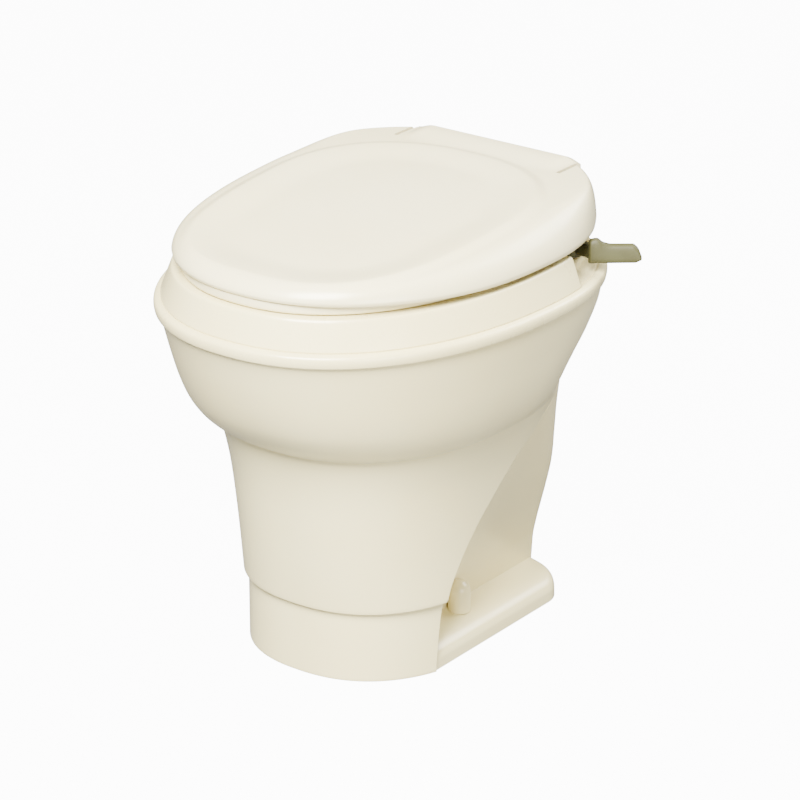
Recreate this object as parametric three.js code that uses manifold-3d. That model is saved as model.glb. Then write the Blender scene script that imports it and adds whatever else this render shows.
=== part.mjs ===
// A high-profile gravity-flush toilet of the kind built into caravans and motor homes.
// Millimetres, +Z up, the front faces -Y and +X is the flush lever's side.
// The pieces are drawn round the waste outlet's centre line, and the finished group is then moved
// back, so that the origin lies on the floor, on the mid-plane, on the base's front floor pad.
import * as THREE from "three";
import { mergeVertices } from "three/addons/utils/BufferGeometryUtils.js";
import Module from "manifold-3d";

// Driving dimensions
// Heights are steps up from the floor and places are steps from the outlet, each on the one before.

// General
const outletSetback = 95; // from the origin back to the outlet's centre line
const wall = 4; // moulded plastic
const fit = 0.3; // between pieces that touch or run in each other
const overrun = 5; // how far a cutting shape runs past what it cuts

// Pedestal, from the skirt's top edge to the crease under the bulge
const pedestalFoot = 73.6;
const pedestalHeight = 166.4;
const pedestalHalfWidth = 125;
const pedestalFront = 151;
const pedestalRear = 100;
const pedestalCentre = -14.7;
const creaseFlare = 18; // the crease is this much wider, each side
const creaseFlareFront = 24.5;
const creaseFlareRear = 78;
const shellCrease = pedestalFoot + pedestalHeight;
const creaseHalfWidth = pedestalHalfWidth + creaseFlare;
const creaseFront = pedestalFront + creaseFlareFront;
const creaseRear = pedestalRear + creaseFlareRear;

// Flange: the bead round the widest level
const bulgeHeight = 119;
const flangeHalfWidth = 191.9;
const flangeFront = 266;
const flangeRear = 196.2;
const frontSquareness = 2.21;
const rearSquareness = 2.31;
const beadHeight = 13;
const beadLip = 3;
const shellTopInset = 4.7; // the shell's top edge, in from the bead
const beadBottom = shellCrease + bulgeHeight;
const shelfTop = beadBottom + beadHeight;

// Band: the leaning wall between the bead and the seat
const bandHeight = 28.9;
const bandFootInset = 5.8; // the band's foot, in from the bead
const bandTopInset = 17;
const bandEdge = 4;
const bandEnd = 45; // the band stops here and leaves the deck open
const rimThickness = 5;
const bandTop = shelfTop + bandHeight;

// Deck: the lower step behind the band's ends
const deckRise = 8.5;
const deckThickness = 5;
const deckSideInset = 33.9;
const deckRearInset = 12.2;
const deckSquareness = 2.6;
const shelfThickness = 6;
const grooveInset = 8;
const grooveWidth = 3;
const grooveDepth = 1.4;
const deckTop = shelfTop + deckRise;
const deckBottom = deckTop - deckThickness;
const deckHalfWidth = flangeHalfWidth - deckSideInset;
const deckRear = flangeRear - deckRearInset;

// Bowl cavity and throat
const rimWidthSide = 61.9;
const rimWidthFront = 41;
const mouthRear = 135;
const mouthCentre = -75;
const mouthRounding = 4;
const bowlWall = 5;
const throatRadius = 36;
const throatDrop = 62; // below the crease
const throatFlangeRadius = 58;
const throatFlangeThickness = 7;
const throatLength = 14;
const mouthHalfWidth = flangeHalfWidth - rimWidthSide;
const mouthFront = flangeFront - rimWidthFront + mouthCentre;
const throatBottom = shellCrease - throatDrop;
const funnelBottom = throatBottom + throatLength;

// The seam at the side, where the shell's rear edge shows
const seamStart = -84; // at the floor
const seamEnd = 104; // where it levels out at the crease's height

// Base casing
const skirtInset = 4.7; // the skirt stands this far inside the pedestal's foot
const skirtTongue = 13;
const floorPlate = 6;
const footHalfWidth = 108.5;
const footFront = 114; // hidden under the skirt
const footCorner = 34;
const footHeight = 28;
const boltSpacing = 152.4; // closet bolts, centre to centre
const padRadius = 11;
const columnFootGap = 2.2; // between a bolt's pad and the column
const columnTopRoom = 52; // beside the drive shaft
const columnFront = 88;
const columnFootRear = 145;
const columnRearFlare = 15;
const columnFootCorner = 7;
const columnTopCorner = 84;
const footRearInset = 3;
const tongueHeight = 22;
const accessHalfWidth = 44;
const accessBottom = 58;
const accessTopDrop = 22; // below the crease
const accessCorner = 14;
const columnFootHalfWidth = boltSpacing / 2 - padRadius - columnFootGap;
const columnTopRear = columnFootRear + columnRearFlare;
const footRear = columnFootRear - footRearInset;
const accessTop = shellCrease - accessTopDrop;

// Waste outlet and floor fixing
const hornRadius = 36;
const hornWall = 4;
const hornEnd = 3; // above the floor
const hornFlangeWidth = 10;
const hornCollarWidth = 14;
const hornCollarThickness = 4;
const floorSealThickness = 8;
const floorSealWidth = 13;
const boltRadius = 3.2;
const boltRise = 16; // above the foot's ledge
const boltHeadRadius = 6;
const boltHeadHeight = 2;
const ledgeHeight = 24; // the foot's top at the bolts
const washerRadius = 8.2;
const washerThickness = 1.6;
const nutAcrossFlats = 11;
const nutHeight = 6;
const capRadius = 9.5;
const capHeight = 32;
const capWall = 1;
const hornFlangeRadius = hornRadius + hornWall + hornFlangeWidth;
const hornCollarRadius = hornRadius + hornWall + hornCollarWidth;
const boltTop = ledgeHeight + boltRise;

// Flush valve
const bladeRadius = 44;
const bladeThickness = 5;
const bladeHubRadius = 13;
const bladeArmWidth = 20;
const sealThickness = 4.6;
const sealWidth = 7;
const housingWall = 5;
const housingMargin = 4;
const shaftX = 70;
const shaftY = 85;
const shaftRadius = 5;
const bladeSwing = 45; // degrees
const columnTopHalfWidth = shaftX + columnTopRoom;

// Lever and gears
const leverAside = 65; // from the drive shaft to the lever's shaft
const leverBehind = 13;
const gearModule = 2;
const leverTeeth = 18;
const idlerTeeth = 15;
const drivenTeeth = 20;
const gearDrop = 24.5; // from the deck down to the gears' tops
const gearThickness = 9;
const gearPlateThickness = 4;
const gearPlateMargin = 9;
const plateScrewRadius = 2;
const plateScrewInside = 19; // how far a screw reaches above the plate
const idlerPinRadius = 3;
const bossRadius = 10;
const bushWall = 1.4;
const leverHubRadius = 13;
const leverScrewRadius = 2.2;
const leverScrewHead = 5;
const armWidth = 13;
const armRise = 18; // above the deck
const paddleRise = 2;
const paddleHeight = 17;
const paddlePeakRise = 5.8;
const paddleThickness = 11;
const paddleLength = 50;
const paddleAngle = 38.7; // degrees from +X
const paddleAside = 33.3; // from the lever's shaft to the paddle's inner end
const paddleAhead = 18.4;
const leverX = shaftX + leverAside;
const leverY = shaftY + leverBehind;
const gearTop = deckTop - gearDrop;
const armTop = deckTop + armRise;
const paddleBottom = deckTop + paddleRise;

// Return spring
const springRadius = 10;
const springWire = 2.4;
const springTurns = 6;
const springHeight = 24;
const springCollarRadius = 12;
const springCollarThickness = 4;

// Water valve and its cam
const camThickness = 8;
const camLift = 18; // above the throat's lower end
const camRest = 12; // the cam's radius at the plunger when the flush is shut
const camRise = 4; // over the blade's swing
const plungerRadius = 4;
const plungerTip = 2;
const plungerInside = 12;
const plungerReach = 17.7; // from the valve to the cam at rest
const waterValveWidth = 32;
const waterValveDepth = 32;
const waterValveHeight = 36;
const inletRadius = 8;
const inletBore = 5.5;
const inletPast = 6; // beyond the column's rear
const inletNutThickness = 9;
const inletNutAcross = 26;
const inletNutBack = 2.5;
const hoseRadius = 7;
const hoseBore = 4.5;
const rinseTubeRadius = 4.5;
const rinseTubeBore = 2.6;
const nozzleDrop = 14.5; // from the deck's top
const nozzleLength = 30;
const nozzleInside = 12; // into the cavity from its rear edge
const camBottom = throatBottom + camLift;
const plungerEnd = shaftX - camRest - 2 * fit;
const waterValveRight = plungerEnd - plungerReach + fit;
const waterValveLeft = waterValveRight - waterValveWidth;
const inletReach = columnTopRear + inletPast;
const nozzleHeight = deckTop - nozzleDrop;
const nozzleFront = mouthCentre + mouthRear - nozzleInside;
const nozzleRear = nozzleFront + nozzleLength;

// Vacuum breaker
const breakerAside = 118;
const breakerBehind = 20; // behind the lever's shaft
const breakerRadius = 14;
const breakerHeight = 17;
const breakerCapHeight = 6;
const spigotRadius = 6.5;
const spigotLength = 16;
const spigotSpacing = 21;
const breakerX = -breakerAside;
const breakerY = leverY + breakerBehind;

// Seat and lid
const seatLift = 1.3; // above the band
const seatThickness = 14;
const seatSideInset = 14; // in from the lid's side
const seatTipInset = 2;
const seatWall = 4;
const seatHoleInset = 18; // in from the mouth's side
const seatHoleEndInset = 20;
const seatBottom = bandTop + seatLift;
const seatTop = seatBottom + seatThickness;
const seatHoleHalfWidth = mouthHalfWidth - seatHoleInset;
const seatHoleFront = mouthFront - seatHoleEndInset;
const seatHoleRear = mouthRear - seatHoleEndInset;

// Hinges
const hingeInset = 46.2; // in front of the flange's rear
const hingeRise = 11.8; // above the seat's top
const postX = 97.6; // the middle of each hinge plate
const postThickness = 3.2;
const postRadius = 9;
const postDepth = 20;
const postFootLength = 26;
const postFootThickness = 3.4;
const pinRadius = 3.2;
const earThickness = 9;
const earRadius = 9;
const hingeBoltRadius = 2.8;
const hingeBoltHead = 3.4;
const hingeNutRadius = 8;
const hingeNutHeight = 7;
const seatBackGap = 32; // between the seat's back and the hinges
const hingeY = flangeRear - hingeInset;
const hingeZ = seatTop + hingeRise;
const seatBack = hingeY - seatBackGap;

// Lid
const lidSideInset = 14.9; // in from the bead
const lidTipInset = 21;
const lidRearInset = 4;
const lidBackBehind = 23; // its rear wall behind the hinges
const lidWall = 3.6;
const lidRoll = 20; // from its edge in to its level top
const lidEdgeLift = 9.8; // the skirt's edge above the seat's underside, at the front
const lidEdgeFall = 5; // lower at the sides and rear
const lidEdgeFallShare = 0.75; // of the way from the tip to the middle
const lidTopLift = 14.8; // above the seat's top, at the front
const lidTopSlope = 11.5; // higher at the rear
const pillowSideInset = 34;
const pillowTipInset = 20;
const pillowCentre = -20;
const pillowRearAhead = 23; // of the hinges
const pillowHeight = 3;
const humpSideGap = 2.4;
const humpFrontAhead = 18;
const humpRearBehind = 13;
const humpRise = 7.7;
const humpWallRise = 5; // its rear wall's lower edge above the hinges
const slitAhead = 26;
const lidHalfWidth = flangeHalfWidth - lidSideInset;
const lidFront = flangeFront - lidTipInset;
const lidRear = flangeRear - lidRearInset;
const lidBack = hingeY + lidBackBehind;
const seatHalfWidth = lidHalfWidth - seatSideInset;
const lidEdgeFront = seatBottom + lidEdgeLift;
const lidEdgeRear = lidEdgeFront - lidEdgeFall;
const lidTopFront = seatTop + lidTopLift;
const lidTopRear = lidTopFront + lidTopSlope;
const pillowHalfWidth = lidHalfWidth - pillowSideInset;
const pillowFront = lidFront - pillowTipInset + pillowCentre;
const pillowRear = hingeY - pillowRearAhead - pillowCentre;
const humpHalfWidth = postX - humpSideGap;
const humpFront = hingeY - humpFrontAhead;
const humpRear = hingeY + humpRearBehind;
const humpTop = lidTopRear + humpRise;
const humpRearBottom = hingeZ + humpWallRise;
const slitFront = hingeY - slitAhead;

// Bumpers under the seat and the lid
const bumperRadius = 4;
const frontBumperX = 60;
const frontBumperInset = 26; // in from the lid's tip
const rearBumperGap = 8; // outside the mouth
const rearBumperAhead = 25; // of the band's end
const lidBumperX = 95;
const lidBumperInset = 97;
const frontBumperY = frontBumperInset - lidFront;
const rearBumperX = mouthHalfWidth + rearBumperGap;
const rearBumperY = bandEnd - rearBumperAhead;
const lidBumperY = lidBumperInset - lidFront;

// Shape resolution
const ringSteps = 36;
const roundSteps = 14;
const hoseSegments = 14;

// Shares, chosen by hand, of the sizes that they follow

// Height, width, front and rear, from the pedestal's foot to its crease
const pedestalShares = [
  [0, 0, 0, 0],
  [0.22, 0.03, 0.2, 0.3],
  [0.46, 0.13, 0.41, 0.6],
  [0.72, 0.34, 0.65, 0.82],
  [0.9, 0.68, 0.86, 0.95],
  [1, 1, 1, 1],
];
// The same, from the crease to the bead
const bulgeShares = [
  [0, 0, 0, 0],
  [0.03, 0.12, 0.12, 0.0],
  [0.09, 0.27, 0.26, 0.0],
  [0.18, 0.43, 0.42, 0.0],
  [0.3, 0.57, 0.57, 0.02],
  [0.46, 0.7, 0.7, 0.1],
  [0.64, 0.81, 0.81, 0.3],
  [0.83, 0.92, 0.91, 0.6],
  [1, 1, 1, 1],
];
// The shell's rear edge: along from its start to its end, and up to the crease
const seamShares = [
  [0, 0],
  [0.02, 0.2],
  [0.05, 0.34],
  [0.11, 0.45],
  [0.22, 0.585],
  [0.36, 0.7],
  [0.52, 0.805],
  [0.7, 0.895],
  [0.86, 0.96],
  [1, 1],
];
// The column's sections: height, half-width, rear and corner, from its foot to its top
const columnShares = [
  [0, 0, 0, 0],
  [0.12, 0, 0, 0],
  [0.22, 0.03, 0, 0.05],
  [0.3, 0.1, 0, 0.09],
  [0.38, 0.2, 0.07, 0.14],
  [0.46, 0.32, 0.13, 0.2],
  [0.6, 0.54, 0.2, 0.33],
  [0.75, 0.73, 0.4, 0.58],
  [0.9, 0.89, 0.75, 0.85],
  [1, 1, 1, 1],
];
// The foot's rounded edge and rise: height, and inset as a share of its whole slope
const footShares = [
  [0, 0],
  [0.35, 0.01],
  [0.58, 0.06],
  [0.72, 0.16],
  [0.8, 0.3],
  [0.85, 0.5],
  [0.9, 0.72],
  [1, 1],
];
// The bowl's funnel: height above the throat, and growth from the throat to the mouth
const funnelShares = [
  [0, 0],
  [0.05, 0.1],
  [0.13, 0.26],
  [0.24, 0.43],
  [0.38, 0.59],
  [0.54, 0.74],
  [0.7, 0.85],
  [0.86, 0.95],
  [1, 1],
];

// Height and reach inwards, from the lid's skirt to its level top
const lidRollShares = [
  [0.35, 0.04],
  [0.6, 0.12],
  [0.8, 0.27],
  [0.92, 0.48],
  [1, 1],
];

// Solids: every piece is made as a manifold-3d solid and turned into a mesh at the end

const wasm = await Module();
wasm.setup();

// A closed three.js geometry as a solid, whichever way its faces were wound.
function solid(geometry) {
  const bare = geometry.clone();
  bare.deleteAttribute("normal");
  bare.deleteAttribute("uv");
  const merged = mergeVertices(bare, 1e-4);
  const triVerts = new Uint32Array(merged.index.array);
  const vertProperties = new Float32Array(merged.attributes.position.array);
  const made = new wasm.Manifold(new wasm.Mesh({ numProp: 3, vertProperties, triVerts }));
  if (made.volume() >= 0) return made;
  for (let i = 0; i < triVerts.length; i += 3) {
    [triVerts[i + 1], triVerts[i + 2]] = [triVerts[i + 2], triVerts[i + 1]];
  }
  return new wasm.Manifold(new wasm.Mesh({ numProp: 3, vertProperties, triVerts }));
}

// The solids of a list joined into one.
function joined(solids) {
  return solids.reduce((whole, next) => whole.add(next));
}

const toilet = new THREE.Group();

// Adds a finished solid to the toilet as a named mesh.
function addPiece(name, shape, material) {
  const found = shape.simplify(fit / 10).getMesh();
  const geometry = new THREE.BufferGeometry();
  const points = new THREE.BufferAttribute(new Float32Array(found.vertProperties), 3);
  geometry.setAttribute("position", points);
  geometry.setIndex(new THREE.BufferAttribute(new Uint32Array(found.triVerts), 1));
  geometry.computeVertexNormals();
  const mesh = new THREE.Mesh(geometry, material);
  mesh.name = name;
  toilet.add(mesh);
}

const radians = THREE.MathUtils.degToRad;
const lerp = THREE.MathUtils.lerp;

// Outlines in plan

// An egg-shaped outline: half-width, reach to the front and to the rear of its centre.
function egg(halfWidth, front, rear, centreY, squareFront = 2, squareRear = 2) {
  return { halfWidth, front, rear, centreY, squareFront, squareRear };
}

// The outline moved out by the same distance all round, or in if it is negative.
function grown(outline, by) {
  const { halfWidth, front, rear } = outline;
  return { ...outline, halfWidth: halfWidth + by, front: front + by, rear: rear + by };
}

// The outline part of the way from one to another.
function blended(from, to, share, frontShare = share, rearShare = share) {
  return {
    halfWidth: lerp(from.halfWidth, to.halfWidth, share),
    front: lerp(from.front - from.centreY, to.front - to.centreY, frontShare)
      + lerp(from.centreY, to.centreY, share),
    rear: lerp(from.rear + from.centreY, to.rear + to.centreY, rearShare)
      - lerp(from.centreY, to.centreY, share),
    centreY: lerp(from.centreY, to.centreY, share),
    squareFront: lerp(from.squareFront, to.squareFront, share),
    squareRear: lerp(from.squareRear, to.squareRear, share),
  };
}

// The outline's points from the front, by way of +X, as one level of a loft.
// The height is a number, or a function of a point's Y.
function level(outline, height) {
  const points = [];
  for (let i = 0; i < ringSteps; i += 1) {
    const turn = (2 * Math.PI * i) / ringSteps;
    const side = Math.sin(turn);
    const ahead = Math.cos(turn);
    const square = ahead > 0 ? outline.squareFront : outline.squareRear;
    const reach = ahead > 0 ? outline.front : outline.rear;
    const x = outline.halfWidth * Math.sign(side) * Math.abs(side) ** (2 / square);
    const y = outline.centreY - reach * Math.sign(ahead) * Math.abs(ahead) ** (2 / square);
    points.push([x, y, typeof height === "function" ? height(y) : height]);
  }
  return points;
}

// A rectangle with round corners as one level of a loft.
function roundedLevel(halfWidth, front, rear, corner, height) {
  const points = [];
  const quarter = ringSteps / 4;
  const centres = [
    [halfWidth - corner, corner - front, -Math.PI / 2],
    [halfWidth - corner, rear - corner, 0],
    [corner - halfWidth, rear - corner, Math.PI / 2],
    [corner - halfWidth, corner - front, Math.PI],
  ];
  for (const [x, y, start] of centres) {
    for (let i = 0; i < quarter; i += 1) {
      const turn = start + (Math.PI / 2) * (i / (quarter - 1));
      points.push([x + corner * Math.cos(turn), y + corner * Math.sin(turn), height]);
    }
  }
  return points;
}

// Lofts

// A solid through levels of equal count. A shell's levels run up its outside and down its inside
// and the last joins the first; any other loft is capped at both ends.
function loft(levels, isShell = false) {
  const positions = [];
  const index = [];
  const count = levels[0].length;
  levels.forEach((points) => points.forEach((point) => positions.push(...point)));
  const bands = isShell ? levels.length : levels.length - 1;
  for (let row = 0; row < bands; row += 1) {
    const low = row * count;
    const high = ((row + 1) % levels.length) * count;
    for (let i = 0; i < count; i += 1) {
      const next = (i + 1) % count;
      index.push(low + i, low + next, high + next);
      index.push(low + i, high + next, high + i);
    }
  }
  if (!isShell) {
    const addCap = (points, start, facesDown) => {
      const middle = [0, 1, 2].map((axis) => points.reduce((sum, p) => sum + p[axis], 0) / count);
      const centre = positions.length / 3;
      positions.push(...middle);
      for (let i = 0; i < count; i += 1) {
        const next = (i + 1) % count;
        if (facesDown) index.push(centre, start + next, start + i);
        else index.push(centre, start + i, start + next);
      }
    };
    addCap(levels[0], 0, true);
    addCap(levels[levels.length - 1], (levels.length - 1) * count, false);
  }
  const geometry = new THREE.BufferGeometry();
  geometry.setAttribute("position", new THREE.Float32BufferAttribute(positions, 3));
  geometry.setIndex(index);
  return solid(geometry);
}

// Upright walls on one outline.
function prism(outline, bottom, top) {
  return loft([level(outline, bottom), level(outline, top)]);
}

// Plain shapes

function block(x0, x1, y0, y1, z0, z1) {
  const box = new THREE.BoxGeometry(x1 - x0, y1 - y0, z1 - z0);
  box.translate((x0 + x1) / 2, (y0 + y1) / 2, (z0 + z1) / 2);
  return solid(box);
}

// A cylinder along Z, X or Y from one place on that axis to another.
function rod(axis, radius, from, to, across, along, steps = roundSteps) {
  const cylinder = new THREE.CylinderGeometry(radius, radius, to - from, steps);
  const middle = (from + to) / 2;
  if (axis === "z") cylinder.rotateX(Math.PI / 2).translate(across, along, middle);
  if (axis === "x") cylinder.rotateZ(Math.PI / 2).translate(middle, across, along);
  if (axis === "y") cylinder.translate(across, middle, along);
  return solid(cylinder);
}

// A profile of radius and height turned about a vertical axis.
function turned(profile, x = 0, y = 0, steps = roundSteps) {
  const points = profile.map(([radius, height]) => new THREE.Vector2(radius, height));
  const lathe = new THREE.LatheGeometry(points, steps);
  lathe.rotateX(Math.PI / 2).translate(x, y, 0);
  return solid(lathe);
}

// A tube's wall between two radii.
function ring(outer, inner, bottom, top, x = 0, y = 0, steps = roundSteps) {
  const corners = [[inner, bottom], [outer, bottom], [outer, top], [inner, top], [inner, bottom]];
  return turned(corners, x, y, steps);
}

// A shape in plan raised from one height to another.
function raised(shape, bottom, top) {
  const geometry = new THREE.ExtrudeGeometry(shape, {
    depth: top - bottom,
    bevelEnabled: false,
    curveSegments: roundSteps / 2,
  });
  return solid(geometry.translate(0, 0, bottom));
}

// A shape of Y and Z carried along X.
function carried(points, x0, x1) {
  const shape = new THREE.Shape(points.map(([y, z]) => new THREE.Vector2(y, z)));
  const geometry = new THREE.ExtrudeGeometry(shape, { depth: x1 - x0, bevelEnabled: false });
  const turn = new THREE.Matrix4().makeBasis(
    new THREE.Vector3(0, 1, 0),
    new THREE.Vector3(0, 0, 1),
    new THREE.Vector3(1, 0, 0),
  );
  return solid(geometry.applyMatrix4(turn).translate(x0, 0, 0));
}

// A round tube along a curve, with a bore right through it if one is given.
function tube(curve, radius, steps, bore = 0, sides = 10) {
  const drawn = (size, path) => {
    const shape = new THREE.Shape();
    shape.absarc(0, 0, size, 0, 2 * Math.PI);
    return solid(new THREE.ExtrudeGeometry(shape, {
      steps,
      extrudePath: path,
      bevelEnabled: false,
      curveSegments: sides / 2,
    }));
  };
  return bore ? drawn(radius, curve).subtract(drawn(bore, curve)) : drawn(radius, curve);
}

// A disc with arms to other discs, as one plate.
function bridged(discs, width, bottom, top) {
  const solids = discs.map(([x, y, radius]) => rod("z", radius, bottom, top, x, y));
  const [fromX, fromY] = discs[0];
  for (const [x, y] of discs.slice(1)) {
    const length = Math.hypot(x - fromX, y - fromY);
    const bar = new THREE.BoxGeometry(length, width, top - bottom);
    bar.rotateZ(Math.atan2(y - fromY, x - fromX));
    bar.translate((x + fromX) / 2, (y + fromY) / 2, (bottom + top) / 2);
    solids.push(solid(bar));
  }
  return joined(solids);
}

// A hexagonal prism along an axis.
function hexagon(axis, acrossFlats, from, to, across, along) {
  return rod(axis, acrossFlats / Math.sqrt(3), from, to, across, along, 6);
}

// Finishes

function finish(colour, roughness, metalness = 0) {
  return new THREE.MeshStandardMaterial({ color: colour, roughness, metalness });
}
const casing = () => finish(0xe6e0cf, 0.3);
const bowlGloss = () => finish(0xe9e4d5, 0.22);
const lidPlastic = () => finish(0xece8de, 0.3);
const leverPlastic = () => finish(0x9a946f, 0.45);
const innerPlastic = () => finish(0xb9b6ac, 0.5);
const gearPlastic = () => finish(0xd8d5c8, 0.45);
const rubber = () => finish(0x2e2e2e, 0.8);
const steel = () => finish(0xb6b8ba, 0.35, 0.9);
const brass = () => finish(0xb59a52, 0.35, 0.9);

// Outlines that more than one piece follows

const flangeOutline = egg(
  flangeHalfWidth, flangeFront, flangeRear, 0, frontSquareness, rearSquareness,
);
const pedestalOutline = egg(
  pedestalHalfWidth, pedestalFront, pedestalRear, pedestalCentre, rearSquareness, rearSquareness,
);
const creaseOutline = egg(
  creaseHalfWidth, creaseFront, creaseRear, pedestalCentre, rearSquareness, rearSquareness,
);
const shellTopOutline = grown(flangeOutline, -shellTopInset);
const mouthOutline = egg(
  mouthHalfWidth, mouthFront, mouthRear, mouthCentre, frontSquareness, rearSquareness,
);
const lidOutline = egg(lidHalfWidth, lidFront, lidRear, 0, frontSquareness, rearSquareness);
const skirtOutline = grown(pedestalOutline, -skirtInset);
const shellTop = beadBottom + beadLip / 2;

// The shell's outline at the shares of each table row.
function shellLevels(inset) {
  const levels = pedestalShares.map(([height, width, front, rear]) => {
    const outline = blended(pedestalOutline, creaseOutline, width, front, rear);
    return level(grown(outline, -inset), lerp(pedestalFoot, shellCrease, height));
  });
  bulgeShares.slice(1).forEach(([height, width, front, rear]) => {
    const outline = blended(creaseOutline, shellTopOutline, width, front, rear);
    levels.push(level(grown(outline, -inset), lerp(shellCrease, shellTop, height)));
  });
  return levels;
}

// What lies behind and below the seam, moved back by a gap.
function behindSeam(gap) {
  const points = seamShares.map(([along, up]) => [
    lerp(seamStart, seamEnd, along) + gap,
    lerp(0, shellCrease, up) - gap,
  ]);
  const curve = new THREE.SplineCurve(points.map(([y, z]) => new THREE.Vector2(y, z)));
  const edge = curve.getPoints(2 * seamShares.length).map((point) => [point.x, point.y]);
  const reach = flangeRear + overrun;
  const side = flangeHalfWidth + overrun;
  edge.push([reach, shellCrease - gap], [reach, -3 * overrun], [seamStart + gap, -3 * overrun]);
  return carried(edge, -side, side);
}

// Base casing: the front skirt, the foot with its bolt ledges, and the column behind the shell

// The column at the shares of its table, in from its surface by a wall, from the floor up.
function columnLevels(inset, firstHeight) {
  return columnShares.map(([height, width, rear, corner]) => roundedLevel(
    lerp(columnFootHalfWidth, columnTopHalfWidth, width) - inset,
    columnFront - inset,
    lerp(columnFootRear, columnTopRear, rear) - inset,
    Math.max(lerp(columnFootCorner, columnTopCorner, corner) - inset, columnFootCorner / 4),
    Math.max(lerp(0, shellCrease, height) - fit, firstHeight),
  ));
}

// The service opening in the column's rear wall, with round corners.
function serviceOpening() {
  const shape = new THREE.Shape();
  const across = accessHalfWidth - accessCorner;
  shape.absarc(across, accessBottom + accessCorner, accessCorner, -Math.PI / 2, 0);
  shape.absarc(across, accessTop - accessCorner, accessCorner, 0, Math.PI / 2);
  shape.absarc(-across, accessTop - accessCorner, accessCorner, Math.PI / 2, Math.PI);
  shape.absarc(-across, accessBottom + accessCorner, accessCorner, Math.PI, 1.5 * Math.PI);
  const geometry = new THREE.ExtrudeGeometry(shape, {
    depth: columnTopRear - footRear / 2,
    bevelEnabled: false,
    curveSegments: roundSteps / 4,
  });
  return solid(geometry.rotateX(Math.PI / 2).translate(0, columnTopRear + overrun, 0));
}

function makeBaseCasing() {
  const skirtTop = pedestalFoot + skirtTongue;
  const skirt = prism(skirtOutline, 0, skirtTop).subtract(behindSeam(0));
  const slope = footHalfWidth - columnFootHalfWidth + wall;
  const foot = loft(footShares.map(([height, inset]) => roundedLevel(
    footHalfWidth - slope * inset,
    footFront,
    footRear - (footRear - columnFootRear + wall) * inset,
    lerp(footCorner, columnFootCorner, inset),
    footHeight * height,
  )));
  const tongueTop = shellCrease + tongueHeight;
  const tongueOutline = grown(creaseOutline, -wall - 2 * fit);
  const tongue = prism(tongueOutline, shellCrease - fit, tongueTop);
  const hidden = prism(grown(creaseOutline, -2 * wall), -overrun, shellCrease);
  const column = loft(columnLevels(0, 0)).intersect(behindSeam(fit).add(hidden));
  const neckLow = shellCrease - 3 * wall;
  const high = tongueTop + overrun;
  const reach = flangeRear + overrun;
  const inside = loft([...columnLevels(wall, floorPlate), columnLevels(wall, high).pop()]);
  const columnInside = inside
    .subtract(block(-reach, reach, -reach, reach, neckLow, high + overrun))
    .add(inside.intersect(prism(grown(creaseOutline, -3 * wall), neckLow - fit, high)));
  const skirtInside = prism(grown(skirtOutline, -wall), floorPlate, skirtTop + overrun)
    .subtract(behindSeam(-2 * wall));
  const tongueInside = prism(grown(tongueOutline, -wall), shellCrease + wall, high);
  const outletHole = rod(
    "z", hornCollarRadius + 2 * fit, -overrun, floorPlate + overrun, 0, 0, 2 * roundSteps,
  );
  const boltCuts = [-1, 1].flatMap((side) => {
    const x = (side * boltSpacing) / 2;
    return [
      rod("z", boltRadius + 2 * fit, -overrun, footHeight + overrun, x, 0),
      rod("z", boltHeadRadius + fit, -overrun, boltHeadHeight + 3 * fit, x, 0),
      rod("z", padRadius, ledgeHeight, ledgeHeight + capHeight, x, 0),
    ];
  });
  const web = loft(shellLevels(wall + fit))
    .intersect(behindSeam(-2 * wall).subtract(behindSeam(0)))
    .intersect(block(-reach, reach, -reach, reach, pedestalFoot, shellCrease));
  const bowlRoom = loft(funnelLevels(bowlWall + overrun, high));
  return joined([skirt, foot, column, web, tongue])
    .subtract(joined([columnInside, skirtInside, tongueInside, bowlRoom]))
    .subtract(joined([outletHole, serviceOpening(), ...boltCuts]));
}

// Front shell: pedestal and bulge in one moulding, cut along the seam
function makeFrontShell() {
  const outer = loft(shellLevels(0));
  const inner = loft(shellLevels(wall));
  const through = prism(grown(pedestalOutline, -wall), pedestalFoot - overrun, pedestalFoot + fit);
  const open = prism(grown(shellTopOutline, -wall), shellTop - fit, shellTop + overrun);
  return outer.subtract(joined([inner, through, open])).subtract(behindSeam(0));
}

// Bowl: bead, band, deck, cavity and throat in one moulding

const throatOutline = egg(throatRadius, throatRadius, throatRadius, 0);
const rimBottom = bandTop - rimThickness;
const funnelTop = bandTop - mouthRounding;
const deckOutline = egg(
  deckHalfWidth, flangeFront, deckRear, 0, frontSquareness, deckSquareness,
);

// The cavity's levels from the throat up, moved out by a wall.
function funnelLevels(out, top) {
  return funnelShares.map(([height, growth]) => {
    const outline = blended(throatOutline, mouthOutline, growth);
    return level(grown(outline, out), lerp(funnelBottom, top, height));
  });
}

// Where the band is cut away for the lever and the hinges.
function rearCut(low, high) {
  const side = flangeHalfWidth + flangeRear;
  return block(-side, side, bandEnd, side, low, high);
}

// What lies between two outlines, from one height to another.
function between(outer, inner, low, high) {
  return prism(outer, low, high).subtract(prism(inner, low - overrun, high + overrun));
}

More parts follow.
